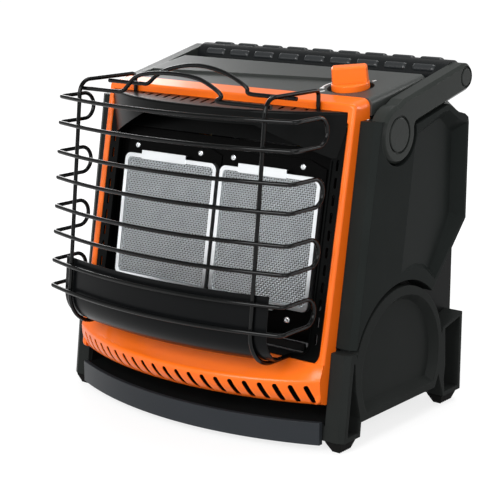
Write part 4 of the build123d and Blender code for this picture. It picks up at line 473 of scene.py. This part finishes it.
# ---- fire opening: inner bezel and shelf -----------------------------------------------------
# Sheet-steel frame pressed round the opening, with air slots down each side, and a shelf with a
# rolled edge at its foot. Both are dipped in satin black enamel.

# dipped enamel: thick and smooth, so that the opening's edge stays black beside the orange
dip_enamel = powder_coat("dipped_black_enamel", "#050606", "#080909", roughness=0.30, peel_mm=3.0,
                         depth_mm=0.015, specular=0.05)
dress(dip_enamel, "inner_bezel", "shelf")


# ---- front bezel and knob --------------------------------------------------------------------
# The orange frame is drawn sheet steel with a thick gloss powder coat, bowed out below into a
# lip with slanted vents. The knob is moulded in the same orange.

# gloss orange powder coat: strong even orange, with a thin clear gloss over its orange peel
orange_coat, tree, shader = new_finish("gloss_orange_powder_coat", "#FF7418", 0.34,
                                       {"IOR": RESIN_IOR, "Specular IOR Level": 0.3,
                                        "Coat Weight": 0.15, "Coat Roughness": 0.12})
drift = noise_on(tree, 80.0, 2.0)
tree.links.new(shades(tree, drift.outputs[0], "#FA6A0E", "#FF761A"), shader.inputs["Base Color"])
peel = noise_on(tree, 2.2, 1.0)
relief(tree, shader, peel.outputs[0], 0.012)
dress(orange_coat, "front_bezel")
# moulded ABS in the same orange: a little softer in gloss, and rounded at its edges
orange_abs = moulded("orange_abs", "#FA6A10", "#FF761C", roughness=0.34, grain_mm=1.2,
                     depth_mm=0.01, specular=0.35)
dress(orange_abs, "knob")


# ---- hood ------------------------------------------------------------------------------------
# Bowed sheet hood over the fire opening with slanted slots in its top, which let the heat out.
# It is coated in black enamel that stands the heat.

# gloss black enamel: broad soft lights along the bow
hood_enamel = powder_coat("gloss_black_enamel", "#060707", "#090A0A", roughness=0.34, peel_mm=6.0,
                          depth_mm=0.008, specular=0.08)
dress(hood_enamel, "hood")


# ---- wire guard --------------------------------------------------------------------------------
# Drawn steel wire loops welded to two hooked uprights and two arches, with a curled plate at the
# foot, all dipped in black enamel.

# enamel on wire: a thin bright line along each bend
wire_enamel = powder_coat("guard_wire_enamel", "#030404", "#060707", roughness=0.14, peel_mm=3.0,
                          depth_mm=0.006, specular=0.2)
dress(wire_enamel, "guard_loops", "guard_uprights", "guard_arches")
# the same enamel on the plate: a broader, softer light on its curl
plate_enamel = powder_coat("guard_plate_enamel", "#08090A", "#0C0D0E", roughness=0.28, peel_mm=3.0,
                           depth_mm=0.01, specular=0.08)
dress(plate_enamel, "guard_plate")


# ---- top cover and dial ----------------------------------------------------------------------
# Folded steel control panel in satin charcoal paint, its recessed field left bare. The control's
# scale is printed in white round the knob.

# satin charcoal paint: lighter than the plastics round it, with a wide sheen
panel_paint = powder_coat("charcoal_satin_paint", "#303331", "#363937", roughness=0.42,
                          peel_mm=1.8, depth_mm=0.015, specular=0.4)
dress(panel_paint, "top_cover")
# pad print: flat white ink, the one pale line on the panel
dial_print = new_finish("white_pad_print", "#E6E8E8", 0.5)[0]
dress(dial_print, "dial_marks")


# ---- gas train -------------------------------------------------------------------------------
# Die-cast regulators on the bridge, brass collars for the cylinders, aluminium pipes to a brass
# valve and injectors; a tilt switch in its case stands on the tray.

# turned brass: warm yellow with tool rings
turned_brass = plain_metal("turned_brass", "#C9A24B", roughness=0.3, streak_mm=2.0,
                           stretch=(1.0, 1.0, 0.1))
dress(turned_brass, "inlet_collars", "injectors", "valve_body", "valve_stem", "push_sleeve")
# drawn aluminium: pale satin with streaks along the pipe
drawn_alloy = plain_metal("drawn_aluminium", "#C6C9CC", roughness=0.35, streak_mm=3.0,
                          stretch=(0.2, 1.0, 1.0))
dress(drawn_alloy, "supply_pipe", "burner_pipe")
# die-cast alloy: matt grey with a close, even grain
cast_alloy = plain_metal("die_cast_alloy", "#9DA0A3", roughness=0.5, streak_mm=1.2,
                         stretch=(1.0, 1.0, 1.0))
dress(cast_alloy, "regulator_left", "regulator_right")
# nylon case: plain dull black
switch_case = moulded("switch_case_nylon", "#161717", "#1C1D1D", roughness=0.5, grain_mm=GRAIN_MM,
                      depth_mm=0.02)
dress(switch_case, "tip_switch")
# glazed alumina: the off-white of spark plugs
alumina = new_finish("glazed_alumina", "#DAD8D0", 0.3)[0]
dress(alumina, "pilot_probes")


# ---- carrying handle --------------------------------------------------------------------------
# Two moulded arms on pins through the housing, joined by a round grip with soft pads let in.
# The pads are domed cushions in two rows, one on top and one to the front.
GRIP_Y, GRIP_Z = 152.09 * MM, 380.22 * MM
GRIP_R = 17.8 * MM
PAD_PROUD = 2.15 * MM
PAD_SINK = 0.1 * MM          # how deep a pad's edge lies in the grip
PAD_L, PAD_W = 29.0 * MM, 9.0 * MM
PAD_CORNER = 3.2 * MM
PAD_EDGE = 4.4 * MM          # width of the rounded edge
PAD_STEPS = (46, 20)
PAD_ANGLES = (149.5, 82.0)   # of the two rows, from the back over the top
PAD_COUNT = 9
PAD_PITCH = 38.2 * MM


def soft_pads():
    """Cushions on the grip. d is the depth inside a rounded rectangle; the height over the grip is
    proud * sqrt(1 - (1 - d / edge)^2), a quarter round, up to d = edge."""
    x, y = np.meshgrid(np.linspace(-1, 1, PAD_STEPS[0]) * PAD_L / 2,
                       np.linspace(-1, 1, PAD_STEPS[1]) * PAD_W / 2, indexing="ij")
    past_x = np.abs(x) - (PAD_L / 2 - PAD_CORNER)
    past_y = np.abs(y) - (PAD_W / 2 - PAD_CORNER)
    corner = np.hypot(np.maximum(past_x, 0), np.maximum(past_y, 0))
    inner = np.minimum(np.maximum(past_x, past_y), 0)
    d = np.clip((PAD_CORNER - corner - inner) / PAD_EDGE, 0, 1)
    radius = GRIP_R - PAD_SINK + PAD_PROUD * np.sqrt(1 - (1 - d) ** 2)
    quads = sheet_faces(*PAD_STEPS)
    points, faces = [], []
    for row in PAD_ANGLES:
        angle = radians(row) + y / GRIP_R
        for n in range(PAD_COUNT):
            pad_x = x + (n - (PAD_COUNT - 1) / 2) * PAD_PITCH
            pad = np.stack([pad_x, GRIP_Y + radius * np.cos(angle),
                            GRIP_Z + radius * np.sin(angle)], -1)
            faces.append(quads + len(points) * x.size)
            points.append(pad.reshape(-1, 3))
    return np.concatenate(points), np.concatenate(faces)


# arm nylon: lighter than the covers, so that the handle stands out from them
arm_nylon = moulded("handle_nylon", "#2A2D2B", "#303331", roughness=0.30, grain_mm=GRAIN_MM,
                    depth_mm=0.015, specular=0.08)
dress(arm_nylon, "handle_arm_left", "handle_arm_right")
# same nylon from a polished tool: darker and glossier
grip_nylon = moulded("grip_nylon", "#121415", "#181A1B", roughness=0.32, grain_mm=GRAIN_MM,
                     depth_mm=0.01, specular=0.15)
dress(grip_nylon, "handle_grip")
# caps from the same tool as the arms, a touch smoother, so that their rims catch the light
cap_nylon = moulded("cap_nylon", "#282B29", "#2E312F", roughness=0.28, grain_mm=GRAIN_MM,
                    depth_mm=0.01, specular=0.1)
dress(cap_nylon, "pivot_caps", "end_caps")
# soft-touch rubber: a clear light on each cushion's crown
soft_pad = moulded("soft_touch_pads", "#1C1F21", "#232628", roughness=0.30, grain_mm=0.9,
                   depth_mm=0.01, specular=0.5)
pads = new_piece("soft_pads", *soft_pads(), soft_pad)
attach(pads, "handle")
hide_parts("grip_pads")
